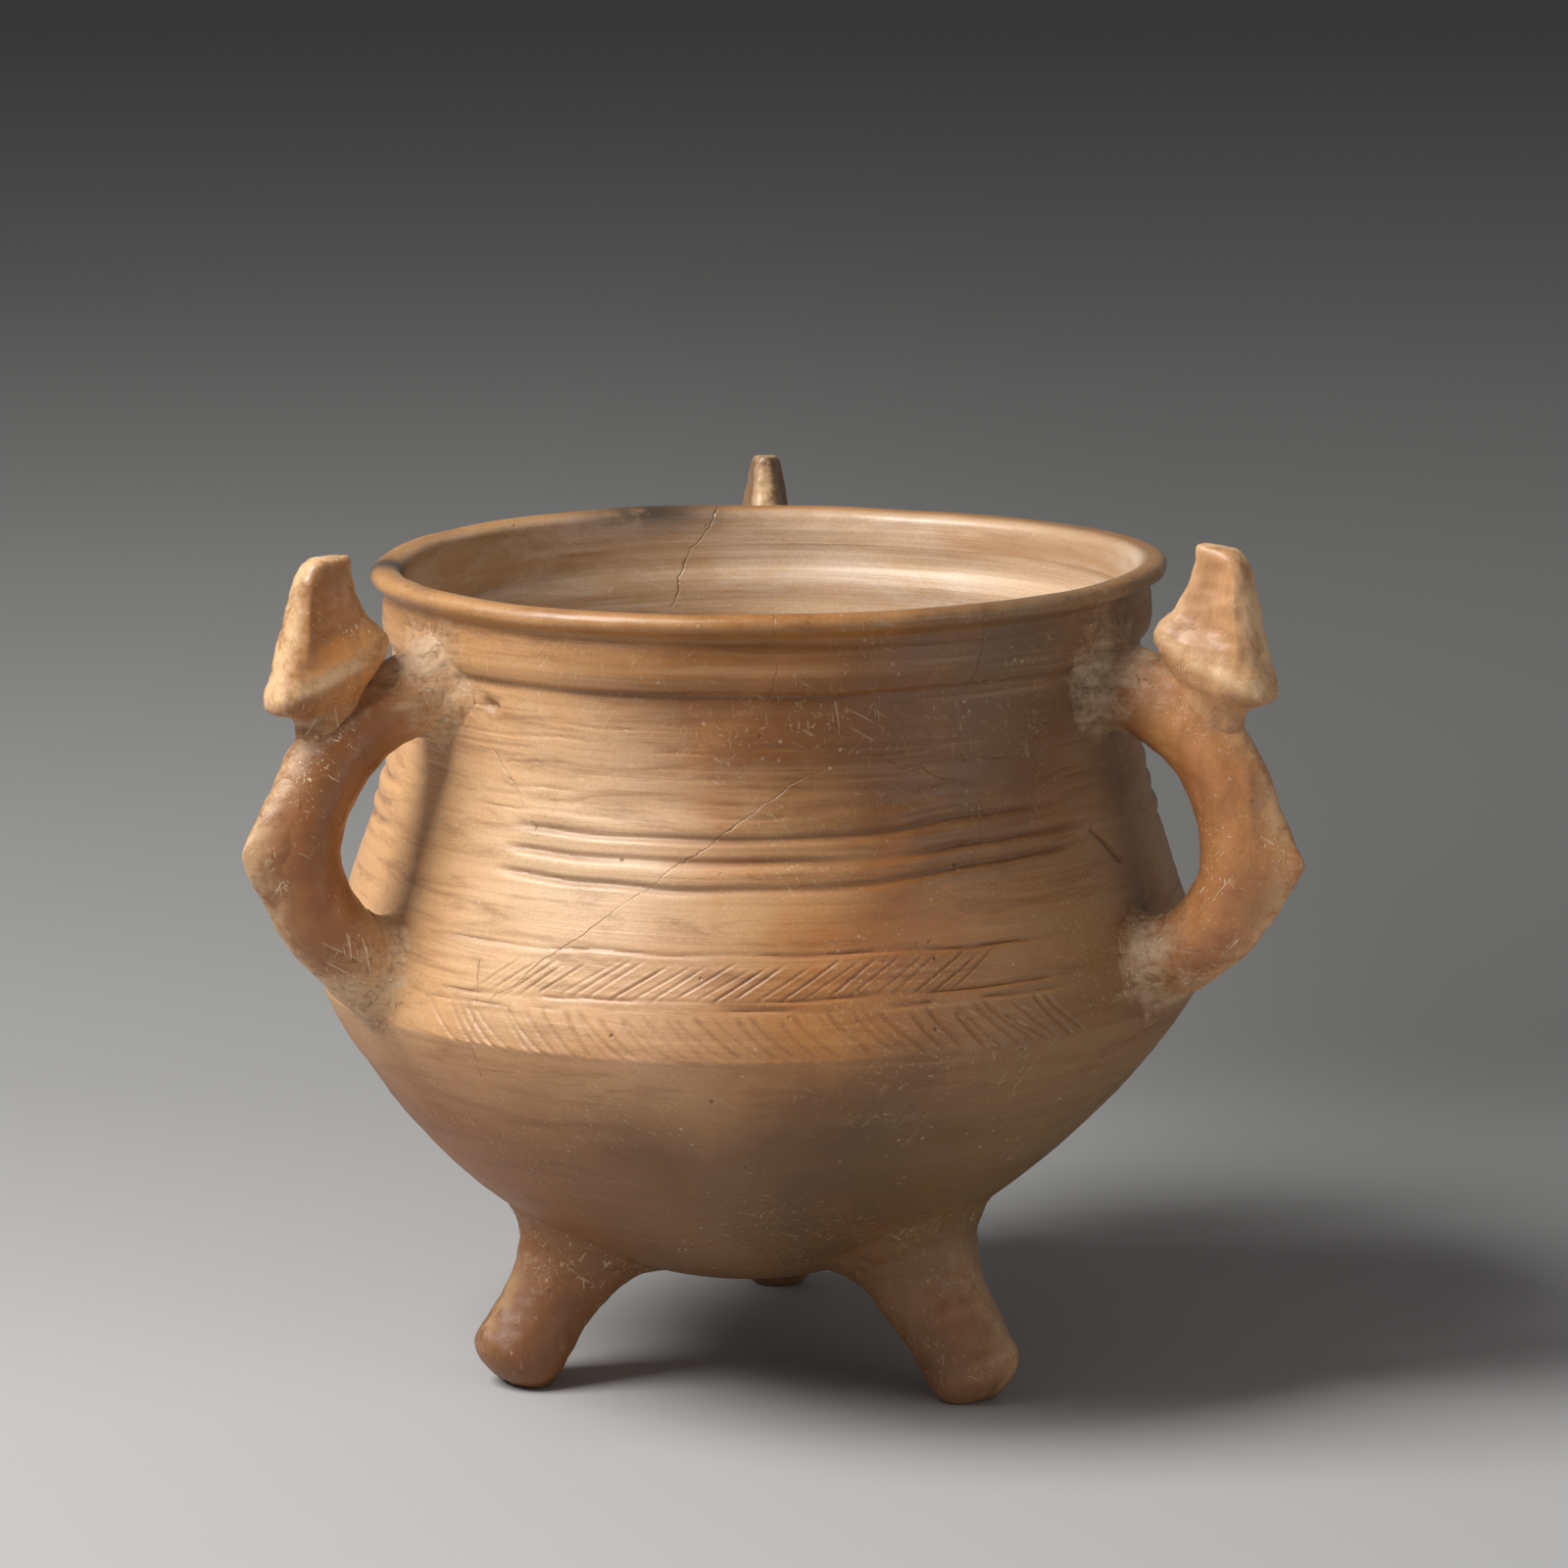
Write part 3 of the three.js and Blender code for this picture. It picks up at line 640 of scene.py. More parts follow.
@dataclass(frozen=True)
class Kiln:
    """Turns surfaces into finished pieces in place of the CAD nodes."""

    form: PotForm
    sharp_degrees: float = 50.0

    def fire(self, node: str, surface: Surface, slot: Slot, finish: FiredClay, sags: bool = False) -> None:
        """Make one piece.

        Args:
            node: CAD node that the piece stands for.
            surface: Its shape in the true form, in millimetres.
            slot: Slot of the record; not used.
            finish: Its clay.
            sags: Whether it sags with the belly.
        """
        points = self.form.settle(surface.vertices(), sags)
        quads, fans = surface.faces()
        corners = np.concatenate([quads[:, [0, 1, 2]], quads[:, [0, 2, 3]], fans])
        a, b, c = (points[corners[:, k]] for k in range(3))
        if np.einsum("ij,ij->i", a, np.cross(b, c)).sum() < 0:
            quads, fans = quads[:, ::-1], fans[:, ::-1]
        mesh = bpy.data.meshes.new(f"{node}_fired")
        mesh.vertices.add(len(points))
        mesh.vertices.foreach_set("co", points.astype(np.float32).ravel())
        mesh.loops.add(quads.size + fans.size)
        order = np.concatenate([quads.ravel(), fans.ravel()])
        mesh.loops.foreach_set("vertex_index", order.astype(np.int32))
        mesh.polygons.add(len(quads) + len(fans))
        starts = np.concatenate([np.arange(len(quads)) * 4, quads.size + np.arange(len(fans)) * 3])
        mesh.polygons.foreach_set("loop_start", starts.astype(np.int32))
        mesh.update(calc_edges=True)
        mesh.polygons.foreach_set("use_smooth", np.ones(len(starts), bool))
        for name in surface.marks:
            layer = mesh.attributes.new(name, "FLOAT", "POINT")
            layer.data.foreach_set("value", surface.values(name).astype(np.float32))
        mesh.set_sharp_from_angle(angle=np.radians(self.sharp_degrees))
        mesh.materials.append(finish.material)
        piece = new_object(f"{node}_fired", mesh)
        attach(piece, "root")
        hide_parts(node)
        LOG.info("%s: %d faces", piece.name, len(starts))


# The wall


@dataclass
class Wall:
    """The five pieces of the wall, from the round base up to the rolled lip."""

    form: PotForm
    kiln: Kiln
    drawn: DrawnMarks = field(default_factory=DrawnMarks)
    scars: tuple[Scar, ...] = (
        Scar((324.5, 193.4), (327.6, 187.6), 0.75, 2.0),
        Scar((327.6, 187.6), (330.3, 181.6), 1.0, 2.2),
        Scar((224.2, 237.2), (225.6, 236.3), 1.9, 2.4),
        Scar((248.9, 99.0), (249.0, 98.8), 0.9, 0.8),
        Scar((287.7, 123.9), (293.9, 122.4), 0.8, 0.7),
    )
    crust: Crust = field(default_factory=Crust.round_roots)
    inset: float = 0.5
    lap: float = 3.5
    warp: float = 1.5
    undercut: float = 244.4
    undercut_depth: float = 0.35
    smudges: tuple[tuple[float, float], ...] = ((109.0, 13.0), (181.0, 7.0))
    smudge_height: float = 270.0

    def relief(self, degrees: Array, height: Array) -> tuple[Array, dict[str, Array]]:
        """How the outside departs from the true form.

        Args:
            degrees: Angles round the pot.
            height: Heights in the true form.

        Returns:
            Outward movement in millimetres, and the mark of how hollow each place is.
        """
        places = self.form.skin(degrees, height, 0.0)
        move, hollow = self.drawn.relief(degrees, height, places)
        move = move - self.inset + uneven(places, (95.0, 95.0, 70.0), 1) * 0.5
        move = move + uneven(places, (30.0, 30.0, 16.0), 2) * 0.16
        move = move + uneven(places, (85.0, 85.0, 5.5), 3, 14) * 0.10
        under = bell(height - self.undercut, 0.9) * (0.6 + 0.4 * uneven(places, (45.0, 45.0, 45.0), 4))
        move = move - self.undercut_depth * under
        # The undercut under the collar also carries a painted shadow line, through the hollow mark.
        hollow = np.maximum(hollow, 1.8 * under)
        for scar in self.scars:
            bite = scar.bite(degrees, height)
            move = move - scar.depth * bite
            hollow = np.maximum(hollow, bite)
        return move, {"hollow": hollow}

    def shell(
        self, outer: Array, marks: dict[str, Array], degrees: Array, height: Array, **ends: object
    ) -> Surface:
        """A closed piece of the wall.

        Args:
            outer: Points of its outside.
            marks: What the outside carries.
            degrees: Angles of its inside's points.
            height: Heights of its inside's points.
            ends: How the surface closes.

        Returns:
            The piece, whose inside's rows follow the outside's.
        """
        inner, inner_marks = self.inside(degrees, height)
        blank = np.zeros(outer.shape[:2])
        joined = {
            name: np.concatenate([marks.get(name, blank), values]) for name, values in inner_marks.items()
        }
        return Surface(np.concatenate([outer, inner]), joined, **ends)

    def band(self, low: float, high: float, rows: int, columns: int, inner_rows: int) -> Surface:
        """A ring of the wall: up its outside, over the seam, and down its inside.

        Args:
            low: Height of its lower seam.
            high: Height of its upper seam.
            rows: Rings of its outside.
            columns: Points of each ring.
            inner_rows: Rings of its inside.

        Returns:
            The ring.
        """
        heights = np.linspace(low, high, rows)[:, None]
        round_pot = ring(columns, FULL_TURN)
        degrees = round_pot + self.drawn.shear(heights)
        height = np.broadcast_to(heights, degrees.shape)
        move, marks = self.relief(degrees, height)
        outer = self.form.skin(degrees, height, move)
        within = np.linspace(high - self.lap, low - self.lap, inner_rows)[:, None]
        shifted = round_pot + self.drawn.shear(np.linspace(high, low, inner_rows)[:, None])
        return self.shell(outer, marks, shifted, np.broadcast_to(within, shifted.shape), looped=True)

    def inside(self, degrees: Array, height: Array) -> tuple[Array, dict[str, Array]]:
        """Inside of the wall, wiped round by hand, at the wall's thickness from the outside.

        Args:
            degrees: Angles round the pot.
            height: Heights in the true form.

        Returns:
            Its points, and what the clay carries there.
        """
        places = self.form.skin(degrees, height, -self.form.wall)
        wipe = uneven(places, (80.0, 80.0, 9.0), 7, 14) * 0.28 + uneven(places, (60.0, 60.0, 40.0), 8) * 0.35
        blank = np.zeros_like(height)
        marks = {"hollow": blank, "inside": np.ones_like(height), "soot": self.soot(degrees, height)}
        return self.form.skin(degrees, height, -self.form.wall + wipe), marks

    def soot(self, degrees: Array, height: Array) -> Array:
        """Black smudges on the rim: a bell round the pot times a bell up the wall for each.

        Args:
            degrees: Angles round the pot.
            height: Heights in the true form.

        Returns:
            How black each place is, from 0 to 1.
        """
        spots = [bell(wrapped(degrees - middle, FULL_TURN), width) for middle, width in self.smudges]
        return np.max(spots, axis=0) * bell(height - self.smudge_height, 5.5)

    def fire(self, node: str, surface: Surface, slot: Slot, finish: FiredClay, sags: bool = False) -> None:
        """Give a surface every mark that the clay reads, and fire it.

        Args:
            node: CAD node that the piece stands for.
            surface: Its shape in the true form, in millimetres.
            slot: Slot of the record, passed on to the kiln.
            finish: Its clay.
            sags: Whether it sags with the belly.
        """
        blank = np.zeros(surface.points.shape[:2])
        for name in ("hollow", "inside", "soot", "limb", "worn"):
            surface.marks.setdefault(name, blank)
        surface.marks["smear"] = self.crust.at(surface.points) * (1 - surface.marks["inside"])
        self.kiln.fire(node, surface, slot, finish, sags)

    def bowl(self) -> Surface:
        """The round base: rings from the middle of its underside up, then down its inside."""
        rows, inner_rows, columns = 110, 50, 420
        share = np.linspace(0.02, 1.0, rows)[:, None]
        low, high = self.form.belly_bottom, self.form.belly_seam
        heights = low + (high - low) * share**2
        round_pot = ring(columns, FULL_TURN)
        degrees = round_pot + self.drawn.shear(heights)
        height = np.broadcast_to(heights, degrees.shape)
        move, marks = self.relief(degrees, height)
        outer = self.form.skin(degrees, height, move * smooth(0.02, 0.25, share))
        down = np.linspace(1.0, 0.05, inner_rows)[:, None]
        level = np.broadcast_to(low + (high - self.lap - low) * down**2, (inner_rows, columns))
        poles = (np.array([0.0, 0.0, low]), np.array([0.0, 0.0, low + self.form.wall]))
        return self.shell(outer, marks, np.broadcast_to(round_pot, level.shape), level, poles=poles)

    def lip(self) -> Surface:
        """The lip: a closed round section carried round the mouth, a little higher and lower as it goes.

        Its ends on the wall follow the collar's edge outside and the wiped wall inside, and the share
        that is free of them rises from 0 at the seam to 1 a little above it.

        Returns:
            The closed coil.
        """
        form = self.form
        rows, columns = 46, 640
        seam, mouth, neck = form.lip_seam, form.mouth_height, form.neck_radius
        stops = [
            (form.radius(seam), seam),
            (neck + 4.4, seam + 0.9),
            (neck + 6.6, seam + 2.4),
            (neck + 7.4, seam + 4.1),
            (neck + 7.1, mouth - 1.9),
            (neck + 5.9, mouth - 0.6),
            (neck + 4.2, mouth - 0.05),
            (neck + 1.6, mouth - 0.15),
            (neck - 1.0, mouth - 0.9),
            (neck - 2.7, mouth - 2.6),
            (neck - 3.2, mouth - 5.2),
            (neck - 3.4, seam - 1.5),
            (neck - 3.5, seam - self.lap),
        ]
        route = Route.through([(float(a), float(b)) for a, b in stops])
        section = route.at(np.linspace(0, 1, rows))[:, None, :]
        degrees = np.broadcast_to(ring(columns, FULL_TURN), (rows, columns))
        height = np.broadcast_to(section[..., 1], degrees.shape)
        angle = np.radians(degrees)
        radius = np.broadcast_to(section[..., 0], degrees.shape)
        places = around(radius, angle, height)
        free = smooth(seam, seam + 3.0, height)
        wave = uneven(places, (70.0, 70.0, 400.0), 12) * 0.35 * free
        nick = uneven(places, (16.0, 16.0, 12.0), 13) * 0.16 * free
        middle = neck + 2.0
        broad = uneven(places, (120.0, 120.0, 400.0), 1) * 0.2 * free
        radius = radius + np.sign(radius - middle) * nick + broad
        wave = wave + self.warp * np.sin(2 * angle - np.pi) * np.maximum(np.sin(angle), 0.0) * free
        move, _ = self.relief(degrees, np.full_like(height, seam))
        radius = radius + (1 - free) * np.where(radius > middle, move, 0.0)
        points = around(radius, angle, height + wave)
        ends, _ = self.inside(degrees[-1:], np.full((1, columns), seam - self.lap))
        share = np.linspace(0, 1, rows)[:, None, None]
        points = points + (ends - points[-1:]) * smooth(0.74, 1.0, share)
        marks = {
            "soot": self.soot(degrees, height),
            "inside": smooth(middle, middle - 5.0, radius),
            # A pale band round the lip's outer roll, partly rubbed clay, partly a painted highlight.
            "worn": 0.25 * bell(height - seam - 5.5, 2.0) * (radius > middle),
        }
        return Surface(points, marks, looped=True)

    def build(self, sunlit: FiredClay, dark: FiredClay, rim: FiredClay) -> None:
        """Make and dress the five pieces, from the base up.

        Args:
            sunlit: Finish of the shoulder, the neck and the collar.
            dark: Finish of the base.
            rim: Finish of the lip.
        """
        form = self.form
        pieces = (
            ("base_bowl", self.bowl(), Slot.DARK, dark),
            ("shoulder_wall", self.band(form.belly_seam, form.neck_seam, 67, 1290, 9), Slot.SUNLIT, sunlit),
            ("neck_wall", self.band(form.neck_seam, form.collar_seam, 112, 640, 24), Slot.SUNLIT, sunlit),
            ("collar_band", self.band(form.collar_seam, form.lip_seam, 30, 640, 10), Slot.SUNLIT, sunlit),
            ("lip_coil", self.lip(), Slot.BURNT, rim),
        )
        for name, surface, slot, finish in pieces:
            self.fire(name, surface, slot, finish, sags=True)


# Legs, handles and what is joined to them


ROOT_DEPTH = 3.0  # how far under the wall's surface the lines of a bar end
POLE_DEPTH = 3.6  # how far under it the point lies that closes a bar
SKIRT_DEPTH = 1.2  # how far under it the edge of a root's skirt lies
SKIRT_POLE_DEPTH = 4.0  # how far under it the point lies that closes a skirt
TUCK = 0.3  # how far under the bar's surface the skirt's other edge lies


@dataclass
class Limb:
    """A bar of clay along a route in the upright plane at an angle round the pot."""

    form: PotForm
    degrees: float
    route: Route
    rounding: float = 2.0
    ridge: float = 0.0
    ridge_width: float = 0.36
    wear_strength: float = 0.0
    wear_width: float = 0.5

    def halves(self, share: Array) -> tuple[Array, Array]:
        """Half of the bar's size in the route's plane and half across it, at a share of its length."""
        raise NotImplementedError

    def surface(self, share: Array, turn: Array, grow: Array | float = 0.0) -> Array:
        """Point of the bar's outside: its section is a rounded oval square to the route.

        Args:
            share: Share of the route's length.
            turn: Angle round the section, 0 on its upper or outer side.
            grow: Millimetres by which the bar is thicker on all sides.

        Returns:
            Distance out from the axis, distance across, and height.
        """
        share, turn = np.broadcast_arrays(share, turn)
        middle, heading = self.route.at(share), self.route.heading(share)
        depth, width = self.halves(share)
        power = 2.0 / self.rounding
        crease = self.ridge * bell(wrapped(turn), self.ridge_width)
        reach = (depth + crease + grow) * blunted(np.cos(turn), power)
        across = (width + grow) * blunted(np.sin(turn), power)
        out = middle[..., 0] - heading[..., 1] * reach
        return np.stack([out, across, middle[..., 1] + heading[..., 0] * reach], axis=-1)

    def placed(self, points: Array) -> Array:
        """Points of the limb's plane turned round the axis to its angle."""
        return turned(points, self.degrees)

    def off_wall(self, points: Array) -> Array:
        """How far points of the limb's plane lie outside the wall, where the belly has sagged."""
        there = self.placed(points)
        there[..., 0] += self.form.sag(there[..., 2])
        return self.form.outside(there)

    def own(self, points: Array) -> Array:
        """Share of the limb's own clay at a point: none at the wall, all of it further out."""
        return smooth(1.0, 26.0, self.off_wall(points))

    def wear(self, points: Array, turn: Array) -> Array:
        """Rubbed clay on the outer side, partly a painted highlight along the ridge: a bell across the ridge
        that fades out towards the wall.
        """
        across = bell(wrapped(turn), self.wear_width)
        return self.wear_strength * (across * smooth(4.0, 20.0, self.off_wall(points)))

    def leaving(self, turn: Array, level: float, grow: Array | float = 0.0, at_end: bool = False) -> Array:
        """Share at which each line along the bar comes out to a level outside the wall.

        Args:
            turn: Angle of each line.
            level: Distance outside the wall, negative inside it.
            grow: Millimetres by which the bar is thicker.
            at_end: Whether the bar's last root is meant, not its first.

        Returns:
            One share for each line.
        """
        share = np.linspace(1.0, 0.5, 400) if at_end else np.linspace(0.0, 0.62, 400)
        gap = self.off_wall(self.surface(share[:, None], turn[None, :], grow)) - level
        first = np.clip(np.argmax(gap > 0, axis=0), 1, len(share) - 1)
        column = np.arange(len(turn))
        before, after = gap[first - 1, column], gap[first, column]
        part = np.clip(-before / np.where(np.abs(after - before) < 1e-9, 1.0, after - before), 0, 1)
        return share[first - 1] + part * (share[first] - share[first - 1])

    def buried(self, points: Array, depth: float) -> Array:
        """Place at a depth inside the wall, level with the middle of a ring of the limb's points."""
        middle = points.mean(axis=0)
        normal = self.form.normal(middle[2])
        wall = self.form.radius(middle[2]) - self.form.sag(middle[2]) * np.cos(np.radians(self.degrees))
        return self.placed(np.array([wall - depth / max(float(normal[0]), 0.4), 0.0, middle[2]]))

    def core(self, share: float, out: float = 0.0) -> Array:
        """Place of the route at a share of its length, moved out from the axis."""
        level, height = self.route.at(np.array([share]))[0]
        return self.placed(np.array([level + out, 0.0, height]))

    def clay(self, points: Array, poles: tuple[Array, Array], **marks: Array) -> Surface:
        """Closed surface through points of the limb's plane, marked with its share of the limb's clay."""
        return Surface(self.placed(points), {"limb": self.own(points), **marks}, poles=poles)

    def fillet(
        self,
        columns: int,
        reach: float,
        spread: float,
        seed: int,
        at_end: bool = False,
        lift: float = 1.0,
    ) -> Surface:
        """Clay smeared round a root: a skirt that hollows from the bar out onto the wall.

        Each line runs along the cubic that leaves the bar in its own direction and meets the wall
        in the wall's. Its edge on the wall wanders, and both edges lie just under the clay.

        Args:
            columns: Lines round the bar.
            reach: How far along the bar it starts from the wall.
            spread: How far it spreads over the wall.
            seed: Which scatter its edge has.
            at_end: Whether it is round the bar's last root.
            lift: How much more it spreads above the bar than beside it.

        Returns:
            The closed skirt.
        """
        turn = ring(columns)
        circle = around(1.0, turn, np.zeros(columns))
        broad = 0.22 * uneven(circle, (1.1, 1.1, 1.0), seed)
        fine = 0.07 * uneven(circle, (0.35, 0.35, 1.0), seed + 1)
        wide = spread * (1 + broad + fine) * (1 + (lift - 1) * np.clip(np.cos(turn), 0, 1) ** 2)
        far = reach * (1 + 0.12 * uneven(circle, (0.9, 0.9, 1.0), seed + 2))
        sign = -1.0 if at_end else 1.0
        own = self.leaving(turn, 0.0, at_end=at_end)
        start = own + sign * far / self.route.length
        a = self.surface(start, turn, -TUCK)
        toward = unit(a - self.surface(start + sign * 0.03, turn, -TUCK))
        b = self.surface(self.leaving(turn, -SKIRT_DEPTH, wide, at_end), turn, wide)
        away = unit(b - self.surface(own, turn))
        span = np.linalg.norm(b - a, axis=-1)[:, None]
        t = np.linspace(0, 1, 34)[:, None, None]
        points = (
            (1 + 2 * t) * (1 - t) ** 2 * a
            + t * (1 - t) ** 2 * toward * span
            + t * t * (3 - 2 * t) * b
            - t * t * (1 - t) * away * span
        )
        poles = (self.core(start.mean()), self.buried(b, SKIRT_POLE_DEPTH))
        return self.clay(points, poles).roughened(seed + 3, (0.32, 9.0), (0.14, 3.2))


@dataclass
class Leg(Limb):
    """A blunt leg, thick at its root and rounded at its foot."""

    half_depth: float = 15.3
    half_width: float = 16.2
    root_flare: float = 14.0
    foot_rounding: float = 10.0
    shank: float = 71.6

    @classmethod
    def standing(cls, form: PotForm, side: Side) -> Leg:
        """A leg under the belly.

        Args:
            form: The pot.
            side: Which leg it is.

        Returns:
            The leg, whose route is the parabola from inside the belly out to the foot.
        """
        t = np.linspace(-0.35, 1.0, 541)[:, None]
        stops = ((57.0, 60.0), (71.0, 30.0), (95.0 + side.leg_splay, 1.8))
        root, bend, foot = (np.array(stop) for stop in stops)
        points = (1 - t) ** 2 * root + 2 * (1 - t) * t * bend + t**2 * foot
        return cls(
            form,
            side.leg_degree,
            Route(points),
            rounding=2.1,
            ridge=0.9,
            wear_strength=0.45,
            wear_width=0.35,
            half_depth=cls.half_depth - side.leg_thinning,
            half_width=cls.half_width - side.leg_thinning,
            shank=Route(points[t[:, 0] >= 0]).length,
        )

    def halves(self, share: Array) -> tuple[Array, Array]:
        """Half sizes: a flare at the root, and the 2.2 power of the last stretch rounded off."""
        left = np.maximum(self.route.length * (1 - share), 0.0)
        tip = np.clip(1 - left / self.foot_rounding, 0, 1) ** 2.2
        flare = self.root_flare * np.clip(1 - 1.5 * (1 - left / self.shank), 0, 1.1) ** 2
        close = np.maximum(1 - tip, 0.0) ** 0.46
        return (self.half_depth + flare) * close, (self.half_width + flare) * close

    def bar(self, seed: int) -> Surface:
        """The leg from just inside the belly's wall down to its foot, with rings closer at the foot."""
        turn = ring(96)
        start = self.leaving(turn, -ROOT_DEPTH)
        row = np.sin(np.linspace(0, 0.994, 90) * np.pi / 2)[:, None]
        points = self.surface(start + (1 - start) * row, turn)
        poles = (self.buried(points[0], POLE_DEPTH), self.core(1.0))
        bare = self.clay(points, poles, worn=self.wear(points, turn))
        return bare.roughened(seed, (0.55, 24.0), (0.2, 7.0))


@dataclass
class Handle(Limb):
    """A looped bar from under the collar out to an elbow and back to the keel."""

    half_depth: float = 13.4
    half_width: float = 12.6
    root_flare: float = 3.0
    spur_length: float = 6.9
    spur_reach: float = 22.0
    spur_turn: float = 1.1

    @classmethod
    def looped(cls, form: PotForm, side: Side) -> Handle:
        """A handle.

        Args:
            form: The pot.
            side: Which handle it is.

        Returns:
            The handle, whose route runs from under the collar over the elbow to the keel.
        """
        extra, bulge = side.handle_extra, side.handle_bulge
        neck, keel, reach = form.neck_radius, form.keel_radius, 171.4 + extra
        top, elbow, foot = 237.0, 190.0, 149.0
        span, upper, lower = reach - neck, top - elbow, elbow - foot
        stops = [
            (neck - 7, top + 1),
            (neck + span * 0.21, top - 0.5),
            (neck + span * 0.53, top - upper * 0.17),
            (neck + span * 0.79, top - upper * 0.42),
            (neck + span * 0.94, top - upper * 0.7),
            (reach, elbow),
            (reach - 2.8 + bulge * 0.9, elbow - lower * 0.34),
            (reach - 9.3 + bulge, elbow - lower * 0.61),
            (reach - 18.0 + bulge * 0.6, elbow - lower * 0.83),
            (keel - 1.0, foot - 0.5),
            (keel - 14.0, foot - 7.0),
            (keel - 28.0, foot - 14.0),
        ]
        return cls(
            form,
            side.handle_degree,
            Route.through(stops),
            rounding=1.86,
            ridge=0.6,
            wear_strength=0.75,
            spur_length=cls.spur_length + extra * 0.4,
        )

    def halves(self, share: Array) -> tuple[Array, Array]:
        """Half sizes: even along the loop, with a small flare at both roots."""
        root = np.clip(1 - share * 6, 0, 1) + np.clip(share * 6 - 5, 0, 1)
        flare = self.root_flare * root**1.5
        return self.half_depth + 0.4 * flare, self.half_width + flare

    def bar(self, seed: int) -> Surface:
        """The loop, with each line along it ending just inside the wall."""
        turn = ring(112)
        start, end = self.leaving(turn, -ROOT_DEPTH), self.leaving(turn, -ROOT_DEPTH, at_end=True)
        points = self.surface(start + (end - start) * np.linspace(0, 1, 200)[:, None], turn)
        poles = (self.buried(points[0], POLE_DEPTH), self.buried(points[-1], POLE_DEPTH))
        bare = self.clay(points, poles, worn=self.wear(points, turn))
        return bare.roughened(seed, (0.4, 30.0), (0.18, 8.0))

    def spur(self, seed: int) -> Surface:
        """A point pinched out of the elbow: rings on the bar's own surface, raised towards the middle.

        A ring at share s of the patch stands out by the length times (1 - s) ** 2.2, with s rounded
        off at the tip, and the outermost ring lies just under the bar.

        Args:
            seed: Which scatter its unevenness has.

        Returns:
            The closed point.
        """
        shares = np.linspace(0.3, 0.7, 400)
        elbow = float(shares[np.argmax(self.route.at(shares)[:, 0])])
        row = np.linspace(0.03, 1.0, 44)[:, None]
        turn = self.spur_turn * row * np.sin(ring(96))
        base = self.surface(elbow + self.spur_reach / self.route.length * row * np.cos(ring(96)), turn)
        softened = np.clip(1.05 - np.sqrt(row**2 + 0.004), 0, 1)
        points = base.copy()
        points[..., 0] += self.spur_length * softened**2.2 - 0.6 * smooth(0.62, 1.0, row)
        tip = points[0].mean(axis=0) + np.array([0.12, 0.0, 0.0])
        poles = (self.placed(tip), self.core(elbow, 6.0))
        return self.clay(points, poles, worn=self.wear(base, turn)).roughened(seed, (0.2, 7.0))


@dataclass
class Crest:
    """A hat-like crest: a stalk, a thick flange that falls outwards, and a blade above it."""

    degrees: float
    middle: float
    flange: float = 247.5
    top: float = 284.7
    stalk: float = 21.0
    rounding: float = 2.7
    top_fall: float = 0.045

    def build(self, seed: int) -> Surface:
        """Sections from the stalk's foot to the flat top, each a blunt oval thinner at its inner end.

        Along a section's long axis x from -1 outside to 1 inside, its half width is the superellipse
        (1 - |x| ** p) ** (1 / p), tapered inwards and hollowed on its flat sides. Rows run from -1 at
        the stalk's foot over 0 at the flange to 1 at the top.

        Args:
            seed: Which scatter its unevenness has.

        Returns:
            The closed crest.
        """
        keys = [-1.0, -0.6, -0.42, -0.3, -0.18, -0.1, 0.0, 0.08, 0.2, 0.3, 0.4, 0.6, 0.8, 0.93, 0.98, 1.0]
        length = [11.5, 11.6, 14.0, 17.6, 20.8, 21.9, 22.2, 21.3, 18.4, 16.2, 14.5, 11.9, 9.9, 8.1, 6.6, 4.8]
        width = [8.3, 8.4, 9.4, 10.6, 11.4, 11.7, 11.8, 11.4, 10.3, 9.5, 8.8, 7.5, 6.0, 4.9, 3.9, 2.8]
        lean = [-1.2, -0.8, -0.4, -0.2, 0.0, 0.0, 0.0, 0.1, 0.3, 1.1, 1.3, 1.8, 1.7, 0.4, -0.4, -1.0]
        fall = [0.4, 0.4, 0.4, 0.41, 0.42, 0.42, 0.42, 0.41, 0.38, 0.34, 0.31, 0.24, 0.17, 0.12, 0.1, 0.1]
        parts = (np.linspace(-1, -0.2, 20)[:-1], np.linspace(-0.2, 0.34, 44)[:-1], np.linspace(0.34, 1, 40))
        row = np.concatenate(parts)[:, None]
        angle = ring(112)
        x = blunted(np.cos(angle), 2.0 / self.rounding)
        y = blunted(np.sin(angle), 2.0 / self.rounding)
        taper = 1 - 0.24 * smooth(0.1, 0.4, row) * x
        sides = smooth(0.12, 0.36, row) * (1 - smooth(0.72, 1.0, row))
        hollow = 1 - 0.3 * sides * np.clip(1 - ((x - 0.06) / 0.72) ** 2, 0, 1)
        half_length, half_width, tilt = (eased(keys, values, row) for values in (length, width, fall))
        run = half_length * x / np.hypot(1, tilt)
        out = self.middle + eased(keys, lean, row) - run
        height = self.flange + np.where(row < 0, self.stalk, self.top - self.flange) * row + run * tilt
        height = np.minimum(height, self.top - self.top_fall * (out - self.middle + 8.0))
        across = half_width * y * taper * hollow
        points = turned(np.stack(np.broadcast_arrays(out, across, height), -1), self.degrees)
        # Pale rims of the crest, partly rubbed clay, partly painted highlights: its outer and inner ends, its
        # flat top and the flange's edge.
        edge = bell(row - 0.02, 0.09) * np.abs(y) ** 2
        worn = np.clip(np.abs(x) ** 5 * smooth(-0.2, 0.0, row) + smooth(0.93, 1.0, row) + edge, 0, 1)
        marks = {"worn": worn, "limb": np.ones(points.shape[:2])}
        poles = (points[0].mean(axis=0), points[-1].mean(axis=0))
        return Surface(points, marks, poles=poles).roughened(seed, (0.35, 18.0), (0.15, 5.0))


# Clay


